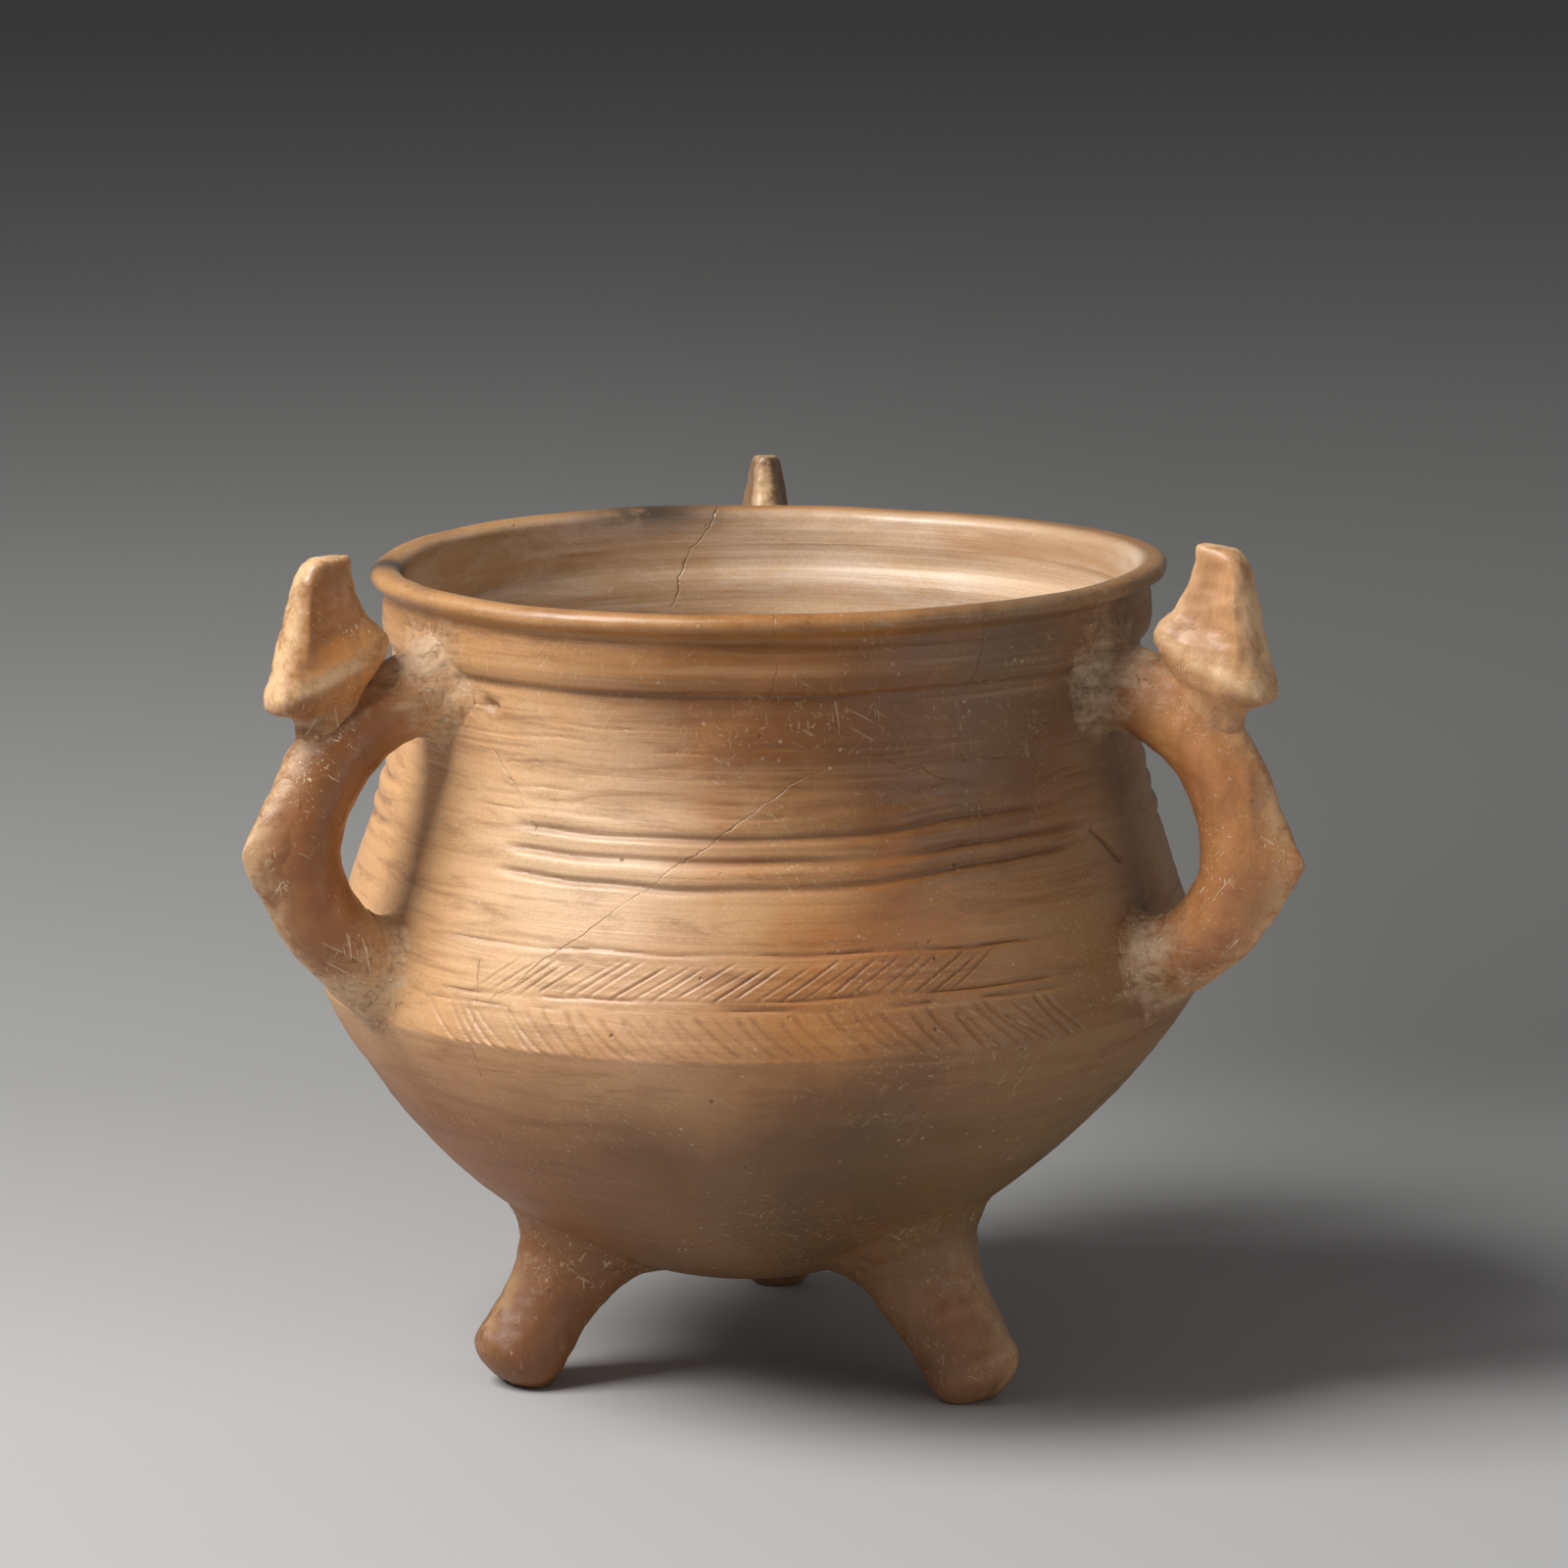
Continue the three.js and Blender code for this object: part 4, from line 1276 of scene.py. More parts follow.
def linear(code: str) -> tuple[float, float, float, float]:
    """Scene colour of a six-digit screen colour."""
    screen = np.array([int(code[k : k + 2], 16) for k in (0, 2, 4)]) / 255
    value = np.where(screen <= 0.04045, screen / 12.92, ((screen + 0.055) / 1.055) ** 2.4)
    return (float(value[0]), float(value[1]), float(value[2]), 1.0)


class Wiring:
    """Adds nodes to one tree and joins them. Colours may be given as six-digit screen colours."""

    def __init__(self, tree: bpy.types.NodeTree) -> None:
        """Start on a tree."""
        self.tree = tree

    @classmethod
    def group(cls, name: str, **inputs: float | Triple) -> tuple[Wiring, bpy.types.NodeOutputs]:
        """Start an effect.

        Args:
            name: Its name.
            inputs: First value of each input, three numbers for a vector.

        Returns:
            Its wiring, and what it is given.
        """
        tree = bpy.data.node_groups.new(name, "ShaderNodeTree")
        for label, value in inputs.items():
            kind = "NodeSocketVector" if isinstance(value, tuple) else "NodeSocketFloat"
            made = tree.interface.new_socket(label.replace("_", " "), in_out="INPUT", socket_type=kind)
            made.default_value = value
        return cls(tree), tree.nodes.new("NodeGroupInput").outputs

    def give(self, **values: Socket) -> bpy.types.NodeTree:
        """End an effect with what it puts out, each value under its name."""
        for label in values:
            kind = "NodeSocketColor" if label == "Colour" else "NodeSocketFloat"
            self.tree.interface.new_socket(label, in_out="OUTPUT", socket_type=kind)
        self.node("NodeGroupOutput", values)
        return self.tree

    def put(self, socket: Socket, value: object) -> None:
        """Join a socket to another, or give it a value."""
        if isinstance(value, bpy.types.NodeSocket):
            self.tree.links.new(value, socket)
        else:
            socket.default_value = linear(value) if isinstance(value, str) else value

    def node(self, kind: str, inputs: dict[str | int, object], **settings: object) -> bpy.types.Node:
        """Add a node with some settings and inputs."""
        made = self.tree.nodes.new(kind)
        for name, value in settings.items():
            setattr(made, name, value)
        for name, value in inputs.items():
            self.put(made.inputs[name], value)
        return made

    def place(self) -> Socket:
        """Where a point lies on the piece, in metres."""
        return self.node("ShaderNodeTexCoord", {}).outputs["Object"]

    def axes(self) -> bpy.types.NodeOutputs:
        """The same place as its parts to the right, to the back and up."""
        return self.node("ShaderNodeSeparateXYZ", {"Vector": self.place()}).outputs

    def stretched(self, scale: Triple, turn: Triple = (0, 0, 0)) -> Socket:
        """Place turned and then scaled, so that a pattern on it is drawn out in the turned direction."""
        inputs = {"Vector": self.place(), "Scale": tuple(1 / v for v in scale), "Rotation": turn}
        return self.node("ShaderNodeMapping", inputs, vector_type="TEXTURE").outputs["Vector"]

    def noise(
        self, place: Socket, scale: float, detail: float = 3.0, rough: float = 0.55, warp: float = 0.0
    ) -> Socket:
        """Cloudy pattern of about 0.2 to 0.8."""
        inputs = {"Vector": place, "Scale": scale, "Detail": detail, "Roughness": rough, "Distortion": warp}
        return self.node("ShaderNodeTexNoise", inputs).outputs["Fac"]

    def math(self, operation: str, a: object, b: object = 0.0, clamp: bool = False) -> Socket:
        """One operation on two values."""
        return self.node("ShaderNodeMath", {0: a, 1: b}, operation=operation, use_clamp=clamp).outputs[0]

    def times(self, *values: object) -> Socket:
        """Product of values."""
        return reduce(partial(self.math, "MULTIPLY"), values)

    def plus(self, *values: object) -> Socket:
        """Sum of values."""
        return reduce(partial(self.math, "ADD"), values)

    def weighed(self, *parts: tuple[object, float]) -> Socket:
        """Sum of values, each times its weight."""
        return self.plus(*(self.times(value, weight) for value, weight in parts))

    def vector(self, operation: str, a: object, b: object = (0.0, 0.0, 0.0)) -> Socket:
        """One operation on two vectors: a vector for a difference, a number for the others."""
        outputs = self.node("ShaderNodeVectorMath", {0: a, 1: b}, operation=operation).outputs
        return outputs["Vector" if operation == "SUBTRACT" else "Value"]

    def remap(
        self,
        value: object,
        low: float,
        high: float,
        start: float = 0.0,
        end: float = 1.0,
        curve: str = "LINEAR",
    ) -> Socket:
        """A value's share between low and high, as a value between start and end."""
        inputs = {"Value": value, "From Min": low, "From Max": high, "To Min": start, "To Max": end}
        return self.node("ShaderNodeMapRange", inputs, interpolation_type=curve).outputs["Result"]

    def mix(self, share: object, a: object, b: object) -> Socket:
        """A colour between two others."""
        inputs = {0: share, 6: a, 7: b}
        return self.node("ShaderNodeMix", inputs, data_type="RGBA", clamp_factor=True).outputs[2]

    def layered(self, colour: object, *layers: tuple[object, object]) -> object:
        """A colour under layers, each of which is its share and its colour."""
        for share, code in layers:
            colour = self.mix(share, colour, code)
        return colour

    def carried(self, name: str) -> Socket:
        """A mark that the mesh carries."""
        return self.node("ShaderNodeAttribute", {}, attribute_name=name).outputs["Fac"]

    def effect(self, group: bpy.types.NodeTree, **inputs: object) -> bpy.types.NodeOutputs:
        """Place an effect with its values, and read what it puts out."""
        named = {name.replace("_", " "): value for name, value in inputs.items()}
        return self.node("ShaderNodeGroup", named, node_tree=group).outputs


def new_material(name: str) -> tuple[bpy.types.Material, Wiring, bpy.types.NodeInputs]:
    """A material with a bare shader.

    Args:
        name: Its name.

    Returns:
        The material, its wiring and the shader's inputs.
    """
    made = bpy.data.materials.new(name)
    made.use_nodes = True
    made.node_tree.nodes.clear()
    w = Wiring(made.node_tree)
    shader = w.node("ShaderNodeBsdfPrincipled", {})
    w.node("ShaderNodeOutputMaterial", {"Surface": shader.outputs[0]}, is_active_output=True)
    return made, w, shader.inputs


@dataclass(frozen=True)
class Stain:
    """A round spot of colour, which stands for real stains and also for painted shade and painted highlights:
    its middle, the reach of its full part and of its edge, its share and its colour.
    """

    place: Triple
    inner: float
    outer: float
    share: float
    code: str


STAINS = (
    # Painted shadow under the collar's overhang at the front.
    Stain((0.018, -0.145, 0.229), 0.020, 0.060, 0.85, "7A481D"),
    Stain((-0.035, -0.150, 0.247), 0.006, 0.040, 0.5, "8B5A2B"),
    # Partly a dark stain, partly painted shade under the collar on the side away from the lamp.
    Stain((0.078, -0.125, 0.233), 0.020, 0.060, 0.7, "654730"),
    # The greyer sherd right of the collar, partly darkened further as painted shade on the side away from the
    # lamp.
    Stain((0.084, -0.118, 0.257), 0.014, 0.040, 0.6, "705A42"),
    # Painted highlight on the front-left neck.
    Stain((-0.058, -0.139, 0.186), 0.018, 0.060, 0.6, "E6C5A0"),
    # Painted highlight on the front of the shoulder, where it faces up.
    Stain((0.002, -0.158, 0.190), 0.008, 0.034, 0.4, "E0B17C"),
    Stain((-0.040, -0.165, 0.145), 0.010, 0.040, 0.45, "CF9F78"),
    Stain((0.105, -0.090, 0.185), 0.012, 0.045, 0.5, "A8865F"),
)


@dataclass(frozen=True)
class ClayEffects:
    """Effects that every finish of the pot shares."""

    def clouds(self, w: Wiring) -> tuple[Socket, Socket]:
        """Broad clouds and smaller patches of the fired clay, each from 0 to 1."""
        here = w.place()
        cloud = w.remap(w.noise(here, 9.0, 4.0, 0.55, 0.6), 0.36, 0.64)
        return cloud, w.remap(w.noise(here, 34.0, 5.0, 0.62, 0.5), 0.40, 0.66)

    def dots(self, w: Wiring, scale: float, edge: float, core: float, kept: Socket) -> Socket:
        """Dots round scattered points, 0 at the edge's distance and 1 at the core's, where kept."""
        inputs = {"Vector": w.place(), "Scale": scale, "Randomness": 1.0}
        far = w.node("ShaderNodeTexVoronoi", inputs).outputs["Distance"]
        return w.times(w.remap(far, edge, core), kept)

    @cached_property
    def ground(self) -> bpy.types.NodeTree:
        """Colour of the wall's clay: grey-brown below the keel, ochre above it, with odd sherds. It is paler
        down the left as a painted highlight, darker down the right partly as painted shade, and its round
        spots hold real stains, painted shade and painted highlights.
        """
        w, _ = Wiring.group("Ground Clay")
        here = w.place()
        aside, _, up = w.axes()
        cloud, patch = self.clouds(w)
        fleck = w.remap(w.noise(w.stretched((20.0, 20.0, 150.0)), 1.0, 7.0, 0.72, 0.6), 0.50, 0.66)
        wall = w.layered(
            w.mix(cloud, "C68D54", "A26836"),
            (w.times(patch, 0.55), "BC7742"),
            # Painted highlight: the left side, towards the key lamp, is made paler.
            (w.remap(aside, 0.01, -0.08, end=0.55), "E2B888"),
            (w.remap(up, 0.236, 0.266, end=0.7), "A16B33"),
            # Darker grey-brown on the right: partly the greyer clay there, partly painted shade on the side
            # away from the lamp.
            (w.remap(aside, 0.02, 0.10, end=0.75), "83603D"),
        )
        belly = w.layered(
            w.mix(cloud, "7C5733", "5E4328"),
            (w.remap(aside, -0.02, -0.10, end=0.7), "A06230"),
            (w.remap(aside, 0.02, 0.12, end=0.8), "9A7B55"),
        )
        height = w.plus(up, w.remap(cloud, 0.0, 1.0, 0.010, -0.010))
        colour = w.mix(w.remap(height, 0.100, 0.146), belly, wall)
        wander = w.remap(patch, 0.0, 1.0, -0.008, 0.008)
        for stain in STAINS:
            far = w.plus(w.vector("DISTANCE", here, stain.place), wander)
            colour = w.mix(w.remap(far, stain.outer, stain.inner, end=stain.share), colour, stain.code)
        return w.give(Colour=w.mix(w.times(fleck, 0.5), colour, "754822"))

    @cached_property
    def burnishing(self) -> bpy.types.NodeTree:
        """Level streaks of the burnishing stone: noise drawn out round the pot, fainter on the belly. Its
        light streaks are partly pale clay, partly a painted sheen.
        """
        w, given = Wiring.group("Burnishing", Strength=1.0)
        fine = w.noise(w.stretched((9.0, 9.0, 560.0)), 1.0, 3.0, 0.6, 0.15)
        broad = w.noise(w.stretched((6.0, 6.0, 120.0)), 1.0, 4.0, 0.6, 0.4)
        both = w.weighed((fine, 0.45), (broad, 0.55))
        patchy = w.remap(w.noise(w.place(), 17.0, 3.0, 0.6), 0.40, 0.60, 0.15)
        patchy = w.times(patchy, w.remap(w.axes()["Z"], 0.095, 0.145, 0.3))
        return w.give(
            Dark=w.times(w.remap(both, 0.53, 0.68), patchy, given["Strength"]),
            Light=w.times(w.remap(both, 0.47, 0.34), patchy, given["Strength"]),
            Height=w.times(fine, given["Strength"]),
        )

    @cached_property
    def mottling(self) -> bpy.types.NodeTree:
        """Clouds, patches, grain, pale specks and dark pores of the fired clay."""
        w, given = Wiring.group("Mottling", Specks=1.0)
        here = w.place()
        cloud, patch = self.clouds(w)
        speck = self.dots(w, 210.0, 0.16, 0.08, w.remap(w.noise(here, 60.0, 2.0), 0.52, 0.62))
        pore = self.dots(w, 120.0, 0.10, 0.04, w.remap(w.noise(here, 41.0, 2.0), 0.56, 0.66))
        grain = w.noise(here, 900.0, 3.0, 0.6)
        return w.give(Cloud=cloud, Patch=patch, Grain=grain, Speck=w.times(speck, given["Specks"]), Pore=pore)

    @cached_property
    def scuffing(self) -> bpy.types.NodeTree:
        """Short pale scratches in three directions: the crests of noise drawn out along each."""
        w, given = Wiring.group("Scuffing", Amount=1.0)
        total: object = 0.0
        for k, turn in enumerate(((0.2, 0.5, 0.3), (0.4, -0.9, -0.5), (-0.3, 1.35, 0.9))):
            drawn = w.noise(w.stretched((60.0, 1300.0, 1300.0), turn), 1.0, 0.0, 0.5, 0.6)
            total = w.math("MAXIMUM", total, w.remap(drawn, 0.73 + 0.005 * k, 0.79))
        keep = w.remap(w.noise(w.place(), 28.0, 4.0, 0.65), 0.44, 0.58)
        return w.give(Scratch=w.times(total, keep, given["Amount"]))

    @cached_property
    def residue(self) -> bpy.types.NodeTree:
        """Pale dry clay where the mesh carries a smear, broken up where it is thin and pitted where thick."""
        w, given = Wiring.group("Pale Residue", Closeness=0.0)
        cloud = w.noise(w.place(), 95.0, 8.0, 0.74, 0.8)
        drawn = w.noise(w.stretched((40.0, 40.0, 240.0)), 1.0, 5.0, 0.65, 0.4)
        level = w.weighed((cloud, 0.6), (drawn, 0.4), (given["Closeness"], 0.42))
        pit = w.remap(w.noise(w.place(), 230.0, 6.0, 0.72, 0.8), 0.54, 0.74)
        return w.give(
            Mask=w.remap(level, 0.70, 0.92),
            Height=w.times(cloud, w.remap(level, 0.62, 0.95)),
            Pit=w.times(pit, w.remap(given["Closeness"], 0.25, 0.7)),
        )

    @cached_property
    def mend(self) -> bpy.types.NodeTree:
        """Mended break: the points near a flat cut through the pot, wavering, between two ends."""
        ends = {"Through": (0.0, 0.0, 0.0), "Across": (1.0, 0.0, 0.0), "Along": (0.0, 0.0, 1.0)}
        w, given = Wiring.group("Mended Break", **ends, Half_Length=0.05, Half_Width=0.0005)
        shift = w.vector("SUBTRACT", w.place(), given["Through"])
        off, run = (w.vector("DOT_PRODUCT", shift, given[name]) for name in ("Across", "Along"))
        waver = w.times(w.math("SUBTRACT", w.noise(w.place(), 60.0, 4.0, 0.6), 0.5), 0.009)
        gap = w.math("ABSOLUTE", w.plus(off, waver))
        line = w.math("SUBTRACT", 1.0, w.math("DIVIDE", gap, given["Half Width"]), True)
        within = w.math("LESS_THAN", w.math("ABSOLUTE", run), given["Half Length"])
        near = w.math("LESS_THAN", w.vector("LENGTH", shift), w.plus(given["Half Length"], 0.03))
        faint = w.remap(w.noise(w.place(), 85.0, 3.0, 0.6), 0.38, 0.60, 0.25)
        return w.give(Line=w.times(line, within, near, faint))


@dataclass(frozen=True)
class Break:
    """A mended break between two places on the wall, each an angle and a height."""

    start: tuple[float, float]
    end: tuple[float, float]
    half_width: float = 0.36

    def values(self, form: PotForm) -> dict[str, object]:
        """What the mending effect needs.

        Args:
            form: The pot.

        Returns:
            A point of the cut, its normal, its direction on the wall, and its sizes in metres.
        """
        ends = (self.start, self.end)
        a, b = (form.settle(form.skin(np.array(turn), np.array(up), 0.0), True) for turn, up in ends)
        middle = (a + b) / 2
        axis = form.settle(np.array([0.0, 0.0, (self.start[1] + self.end[1]) / 2]), True)
        along = unit(b - a)
        vectors = {"Through": middle, "Across": unit(np.cross(along, middle - axis)), "Along": along}
        return {
            **{name: tuple(float(v) for v in vector) for name, vector in vectors.items()},
            "Half_Length": float(np.linalg.norm(b - a) / 2),
            "Half_Width": self.half_width * MM,
        }


BREAKS = (
    Break((283.5, 229.8), (259.1, 193.1)),
    Break((259.1, 193.1), (233.3, 147.2)),
    Break((222.9, 228.5), (235.5, 200.6)),
    Break((230.4, 158.4), (230.9, 121.0)),
    Break((271.0, 271.0), (271.1, 244.0), 0.3),
    Break((304.2, 269.0), (299.8, 244.5)),
    Break((282.7, 228.9), (300.5, 213.8), 0.3),
    Break((271.1, 244.0), (283.5, 229.8), 0.3),
    Break((98.0, 272.0), (103.0, 256.0), 0.5),
    Break((103.0, 256.0), (106.5, 236.0), 0.5),
)


@dataclass(frozen=True)
class FiredClay:
    """A finish of burnished, fired clay. Colours are screen colours."""

    name: str
    effects: ClayEffects
    form: PotForm
    warm: str = "C08549"
    deep: str = "8F5E36"
    ruddy: str = "A55F33"
    streak: str = "7A4E30"
    # Colour of the light burnish streaks, partly a painted sheen.
    bloom: str = "DBB180"
    pale: str = "D0B493"
    within: str = "E2C4A2"
    burnish: float = 0.7
    scratch: float = 0.5
    speck: float = 0.4
    roughness: float = 0.41
    breaks: tuple[Break, ...] = ()
    darkening: float = 0.5
    paling: float = 0.5

    @cached_property
    def material(self) -> bpy.types.Material:
        """The finish as a material: layers of colour, then gloss and fine relief from the same masks."""
        made, w, shader = new_material(self.name)
        mottle = w.effect(self.effects.mottling, Specks=self.speck)
        stone = w.effect(self.effects.burnishing, Strength=self.burnish)
        scuff = w.effect(self.effects.scuffing, Amount=self.scratch)["Scratch"]
        dry = w.effect(self.effects.residue, Closeness=w.carried("smear"))
        crack: object = 0.0
        for gap in self.breaks:
            crack = w.math("MAXIMUM", crack, w.effect(self.effects.mend, **gap.values(self.form))["Line"])
        rubbed = w.times(w.carried("worn"), w.remap(w.noise(w.place(), 80.0, 6.0, 0.72), 0.38, 0.56))
        burnt = w.times(w.carried("soot"), w.remap(w.noise(w.place(), 55.0, 4.0, 0.6), 0.2, 0.48))
        colour = w.layered(
            w.effect(self.effects.ground)["Colour"],
            (w.carried("limb"), self.body(w, mottle)),
            (w.times(w.carried("inside"), 0.85), self.lining(w)),
            # Pale rubbed clay on ridges and rims, partly painted highlights.
            (w.times(rubbed, 0.8), "E6C091"),
            (w.times(stone["Dark"], 0.5), self.streak),
            # Pale burnish streaks, partly a painted sheen of the burnished surface.
            (w.times(stone["Light"], 0.38), self.bloom),
            # Painted shade in the cuts: grooves, strokes, chips and the line under the collar are darkened by
            # how deep they are.
            (w.times(w.carried("hollow"), 0.4), "663C22"),
            (w.times(dry["Mask"], 0.72), self.pale),
            (w.times(dry["Pit"], 0.7), "573A24"),
            (w.times(scuff, 0.55), "D8BC96"),
            (w.times(mottle["Speck"], 0.8), "E4D3BC"),
            (w.times(mottle["Pore"], 0.7), "4A2E1C"),
            (w.remap(mottle["Grain"], 0.35, 0.75, end=0.16), "5B3A22"),
            (w.times(crack, 0.5), "7E5730"),
            (w.times(burnt, 0.92), "2B2521"),
        )
        dull = w.weighed((dry["Mask"], 0.26), (mottle["Patch"], 0.07))
        shine = w.remap(stone["Height"], 0.2, 0.6, 0.05, -0.06)
        relief = w.weighed(
            (stone["Height"], 0.5),
            (mottle["Grain"], 0.10),
            (dry["Height"], 0.9),
            (mottle["Pore"], -0.7),
            (crack, -0.6),
            (dry["Pit"], -0.8),
            (scuff, -0.12),
        )
        bump = w.node("ShaderNodeBump", {"Strength": 0.55, "Distance": 0.0011, "Height": relief})
        w.put(shader["Base Color"], colour)
        w.put(shader["Roughness"], w.math("ADD", w.plus(dull, shine), self.roughness, True))
        w.put(shader["Normal"], bump.outputs["Normal"])
        return made

    def body(self, w: Wiring, mottle: bpy.types.NodeOutputs) -> Socket:
        """Colour of a limb's own clay: mottled, darker on the left, paler on the right, greyer behind."""
        aside, behind, _ = w.axes()
        grain = w.remap(w.noise(w.stretched((90.0, 90.0, 26.0)), 1.0, 5.0, 0.66, 0.8), 0.44, 0.68)
        return w.layered(
            w.mix(mottle["Cloud"], self.warm, self.deep),
            (w.times(mottle["Patch"], 0.75), self.ruddy),
            (w.remap(aside, -0.02, -0.09, end=self.darkening), "6F4424"),
            (w.remap(aside, 0.03, 0.10, end=self.paling), "CFA279"),
            (w.remap(behind, 0.03, 0.11, end=0.75), "6E5B4A"),
            (w.times(grain, 0.5), "6F4629"),
        )

    def lining(self, w: Wiring) -> Socket:
        """Colour of the inside: wiped brown and buff, with painted shade making it browner on the left,
        whitish low down.
        """
        aside, _, up = w.axes()
        wiped = w.noise(w.stretched((5.0, 5.0, 95.0)), 1.0, 5.0, 0.6, 0.5)
        torn = w.remap(w.noise(w.stretched((16.0, 16.0, 60.0)), 1.0, 6.0, 0.7, 0.6), 0.44, 0.60)
        low = w.plus(w.times(w.remap(up, 0.262, 0.215), 0.55), 0.3)
        return w.layered(
            w.mix(w.remap(wiped, 0.36, 0.70), self.within, "B58A62"),
            # Painted shade on the inner left wall, which the rim shades from the lamp.
            (w.remap(aside, 0.02, -0.10, end=0.6), "97703F"),
            (w.times(torn, low), "EADCCB"),
        )


# Stage


@dataclass(frozen=True)
class Studio:
    """A pale floor under a large soft lamp, seen from the front and a little above.

    Each lamp is a name, a place, a size and a power.
    """

    camera_place: Triple = (0.00406, -2.1696, 0.5788)
    camera_pitch: float = 10.134
    lens: float = 151.0
    sensor: float = 36.0
    floor_half: float = 14.0
    floor_height: float = -0.0004
    lamps: tuple[tuple[str, Triple, float, float], ...] = (
        ("key lamp", (-1.24, -0.55, 1.73), 1.15, 66.0),
        ("fill lamp", (1.7, -1.5, 0.3), 1.3, 8.0),
    )
    aim: Triple = (0.0, 0.0, 0.15)

    def lamp(self, name: str, place: Triple, size: float, power: float) -> None:
        """A square lamp that faces the middle of the pot."""
        light = bpy.data.lights.new(name, "AREA")
        light.shape = "SQUARE"
        light.size = size
        light.energy = power
        made = new_object(name, light)
        made.location = place
        made.rotation_euler = (Vector(self.aim) - made.location).to_track_quat("-Z", "Y").to_euler()

    def shown(self, w: Wiring) -> Socket:
        """1 for what the camera, a reflection or glass shows, 0 for light that falls on the pot."""
        path = w.node("ShaderNodeLightPath", {}).outputs
        seen = w.math("ADD", path["Is Camera Ray"], path["Is Glossy Ray"], True)
        return w.math("ADD", seen, path["Is Transmission Ray"], True)

    def floor(self) -> None:
        """A wide floor, pale near the pot, with a painted light falloff that greys it far behind and a
        painted shadow that dims it behind the pot on the right.
        """
        corners = [(-1, -1), (1, -1), (1, 1), (-1, 1)]
        points = [(x * self.floor_half, y * self.floor_half, self.floor_height) for x, y in corners]
        mesh = bpy.data.meshes.new("floor")
        mesh.from_pydata(points, [], [(0, 1, 2, 3)])
        floor = new_object("floor", mesh)
        made, w, shader = new_material("studio floor")
        aside, behind, _ = w.axes()
        far = w.math("POWER", w.math("DIVIDE", w.math("MAXIMUM", behind, 0.0), 1.15), 2.0)
        # Painted shadow of the pot on the floor behind it to the right, fading with distance.
        dim = w.math("DIVIDE", w.remap(aside, -0.18, 0.30, end=0.72, curve="SMOOTHSTEP"), w.plus(far, 1.0))
        # Seen colour of the floor, painted: a dip just behind the pot for its soft shadow, and a falloff to
        # grey far behind as the light thins out.
        seen = w.layered(
            w.mix(w.remap(behind, -0.1, 0.4), "AFAEAD", "9D9C9A"),
            (w.remap(behind, 0.8, 1.8), "A4A3A1"),
            (w.remap(behind, 2.7, 7.2), "71706E"),
            (w.times(dim, w.remap(behind, 0.0, 0.50, curve="SMOOTHSTEP")), "2A2A29"),
        )
        w.put(shader["Base Color"], w.mix(self.shown(w), "C6C5C3", seen))
        w.put(shader["Roughness"], 0.9)
        mesh.materials.append(made)

    def surroundings(self) -> None:
        """Even grey surroundings that fill the shadows a little."""
        world = bpy.data.worlds.new("studio air")
        bpy.context.scene.world = world
        world.use_nodes = True
        world.node_tree.nodes.clear()
        w = Wiring(world.node_tree)
        colour = w.mix(self.shown(w), (0.135, 0.135, 0.138, 1.0), "7A7977")
        air = w.node("ShaderNodeBackground", {"Color": colour, "Strength": 1.0})
        w.node("ShaderNodeOutputWorld", {"Surface": air.outputs[0]})

    def camera(self) -> None:
        """The camera of the photograph."""
        data = bpy.data.cameras.new("camera")
        data.sensor_width = self.sensor
        data.lens = self.lens
        data.clip_end = 100.0
        made = new_object("camera", data)
        made.location = self.camera_place
        made.rotation_euler = (np.radians(90.0 - self.camera_pitch), 0.0, 0.0)
        bpy.context.scene.camera = made

    def build(self) -> None:
        """Set up the camera, the floor and the light."""
        self.camera()
        self.floor()
        self.surroundings()
        for lamp in self.lamps:
            self.lamp(*lamp)
        bpy.context.scene.view_settings.view_transform = "Standard"


def add_legs(wall: Wall, clay: FiredClay) -> None:
    """Make the legs and the clay round their roots.

    Args:
        wall: The wall that they stand on.
        clay: Their finish.
    """
    for k, side in enumerate(SIDES):
        leg = Leg.standing(wall.form, side)
        wall.fire(f"leg_{side.name}", leg.bar(Seed.LEG + k), Slot.BURNT, clay)
        root = leg.fillet(128, reach=12.0, spread=8.5, seed=Seed.LEG_ROOT + 7 * k)
        wall.fire(f"leg_luting_{side.name}", root, Slot.PALE, clay)


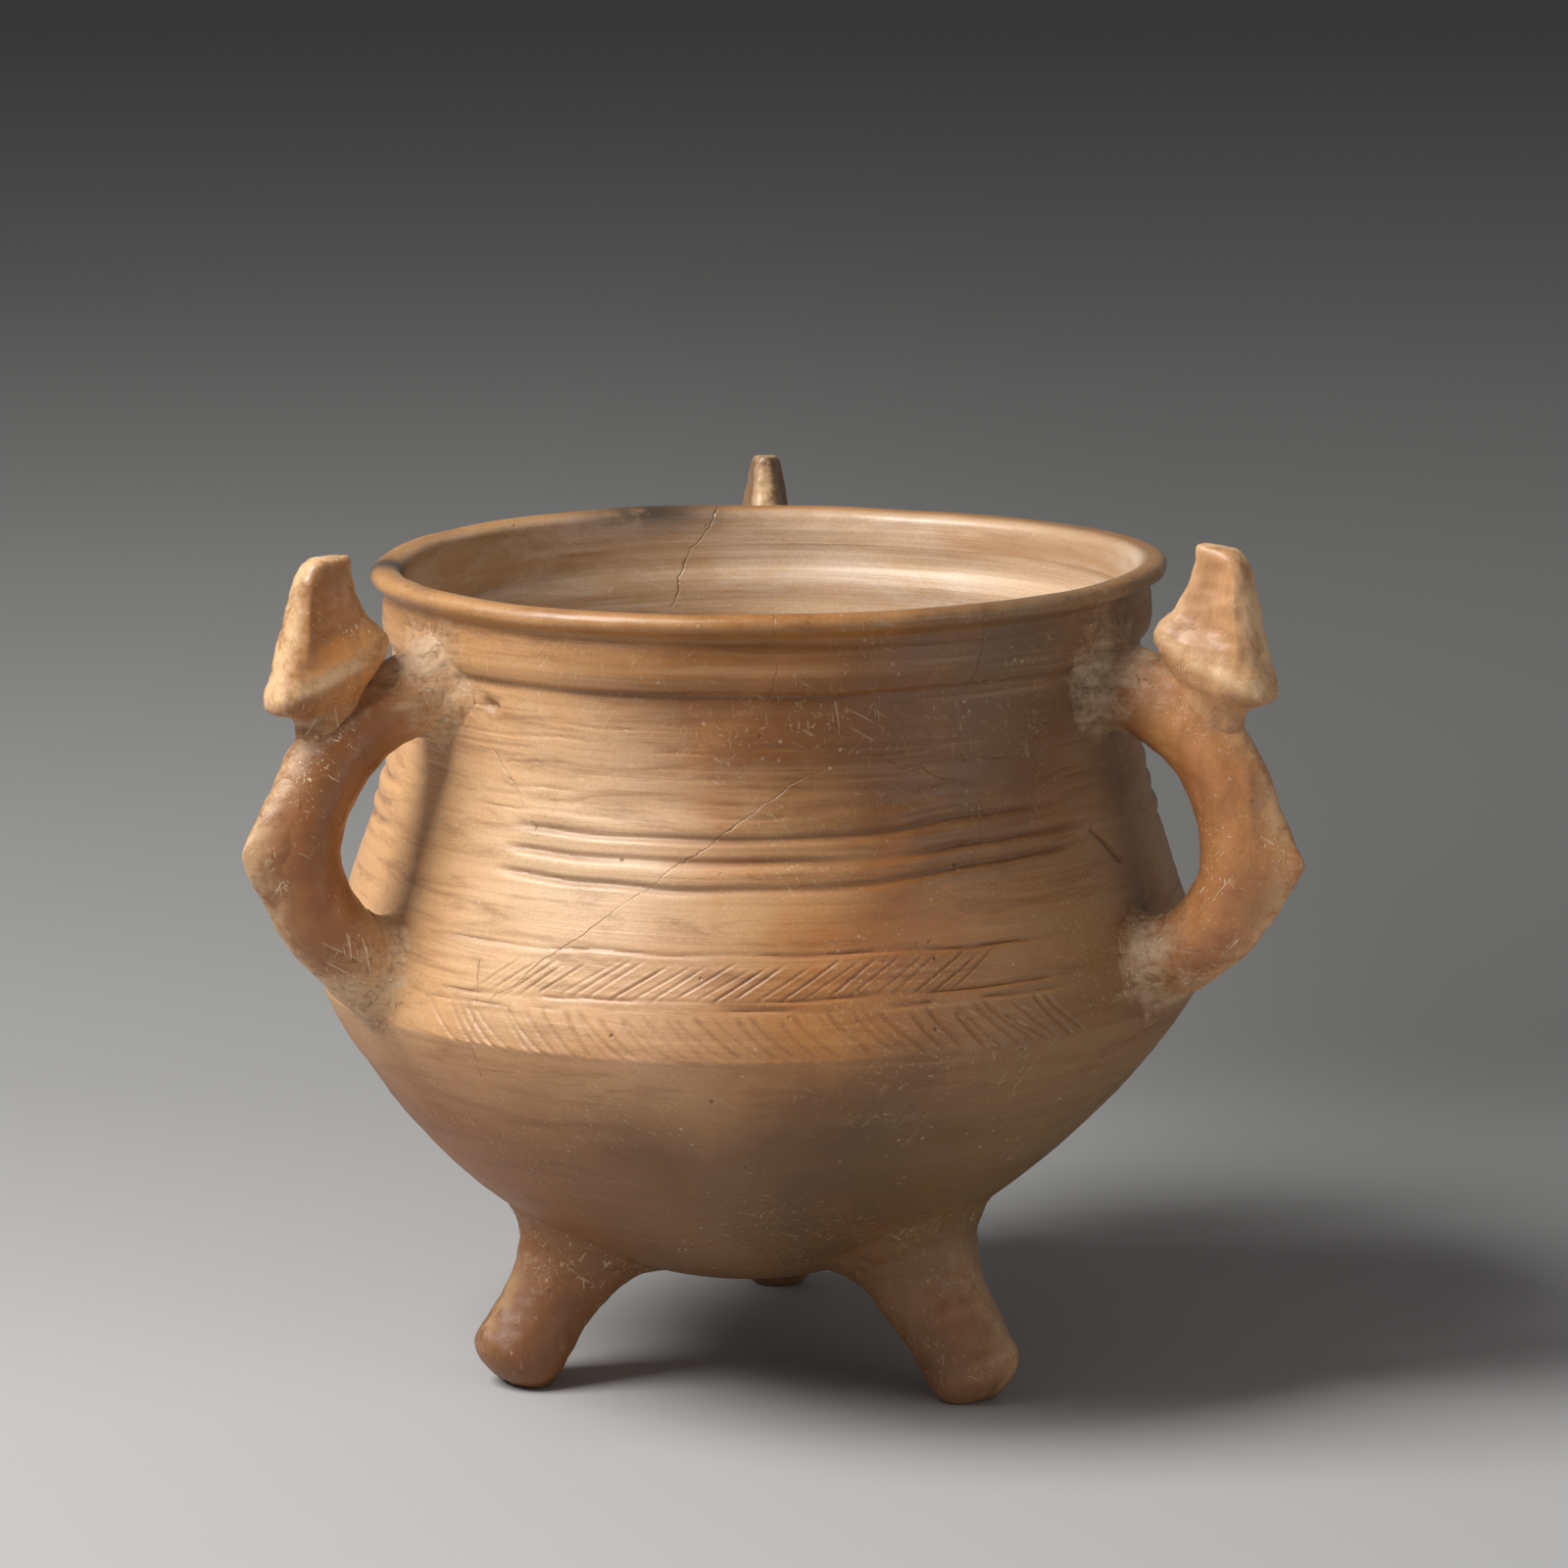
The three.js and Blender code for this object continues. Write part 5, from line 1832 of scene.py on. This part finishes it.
def add_handles(wall: Wall, clay: FiredClay, crest_clay: FiredClay) -> None:
    """Make the handles, their points, the clay round their roots, and their crests.

    Args:
        wall: The wall that they are joined to.
        clay: Finish of the handles.
        crest_clay: Finish of the crests.
    """
    for k, side in enumerate(SIDES):
        handle = Handle.looped(wall.form, side)
        wall.fire(f"handle_{side.name}", handle.bar(Seed.HANDLE + k), Slot.BURNT, clay)
        wall.fire(f"spur_{side.name}", handle.spur(Seed.SPUR + k), Slot.BURNT, clay)
        top = handle.fillet(144, reach=9.0, spread=6.5, seed=Seed.TOP_ROOT + 7 * k, lift=1.35)
        wall.fire(f"top_luting_{side.name}", top, Slot.PALE, clay)
        foot = handle.fillet(144, reach=11.0, spread=7.5, seed=Seed.FOOT_ROOT + 7 * k, at_end=True)
        wall.fire(f"foot_luting_{side.name}", foot, Slot.PALE, clay)
        crest = Crest(side.handle_degree, CREST_DISTANCE + side.handle_extra / 2)
        wall.fire(f"crest_{side.name}", crest.build(Seed.CREST + 3 * k), Slot.BURNT, crest_clay)


def main() -> None:
    """Build the pot piece by piece, then the stage."""
    logging.basicConfig(level=logging.INFO, format="%(message)s")
    form = PotForm()
    wall = Wall(form, Kiln(form))
    clay = partial(FiredClay, effects=ClayEffects(), form=form)
    wall.build(
        sunlit=clay("burnished wall", breaks=BREAKS),
        dark=clay(
            "burnished belly",
            bloom="B5875A",
            burnish=0.45,
            streak="5F4530",
            roughness=0.46,
            breaks=BREAKS[3:4],
        ),
        rim=clay("rolled rim", bloom="C4925A", burnish=0.6, roughness=0.32, breaks=BREAKS[4:6] + BREAKS[8:9]),
    )
    legs = {"warm": "A8703F", "deep": "74502F", "ruddy": "96582F", "burnish": 0.15}
    add_legs(wall, clay("leg clay", **legs, scratch=0.8, darkening=0.8))
    handles = {"warm": "C38245", "deep": "84522D", "ruddy": "9E5429", "burnish": 0.2}
    crests = {"warm": "C98D52", "deep": "96653A", "ruddy": "B5743B", "burnish": 0.2}
    add_handles(
        wall,
        clay("handle clay", **handles, scratch=1.8, roughness=0.33, paling=0.15),
        clay("crest clay", **crests, scratch=1.4, roughness=0.34, darkening=0.0),
    )
    Studio().build()


if __name__ == "__main__":
    main()
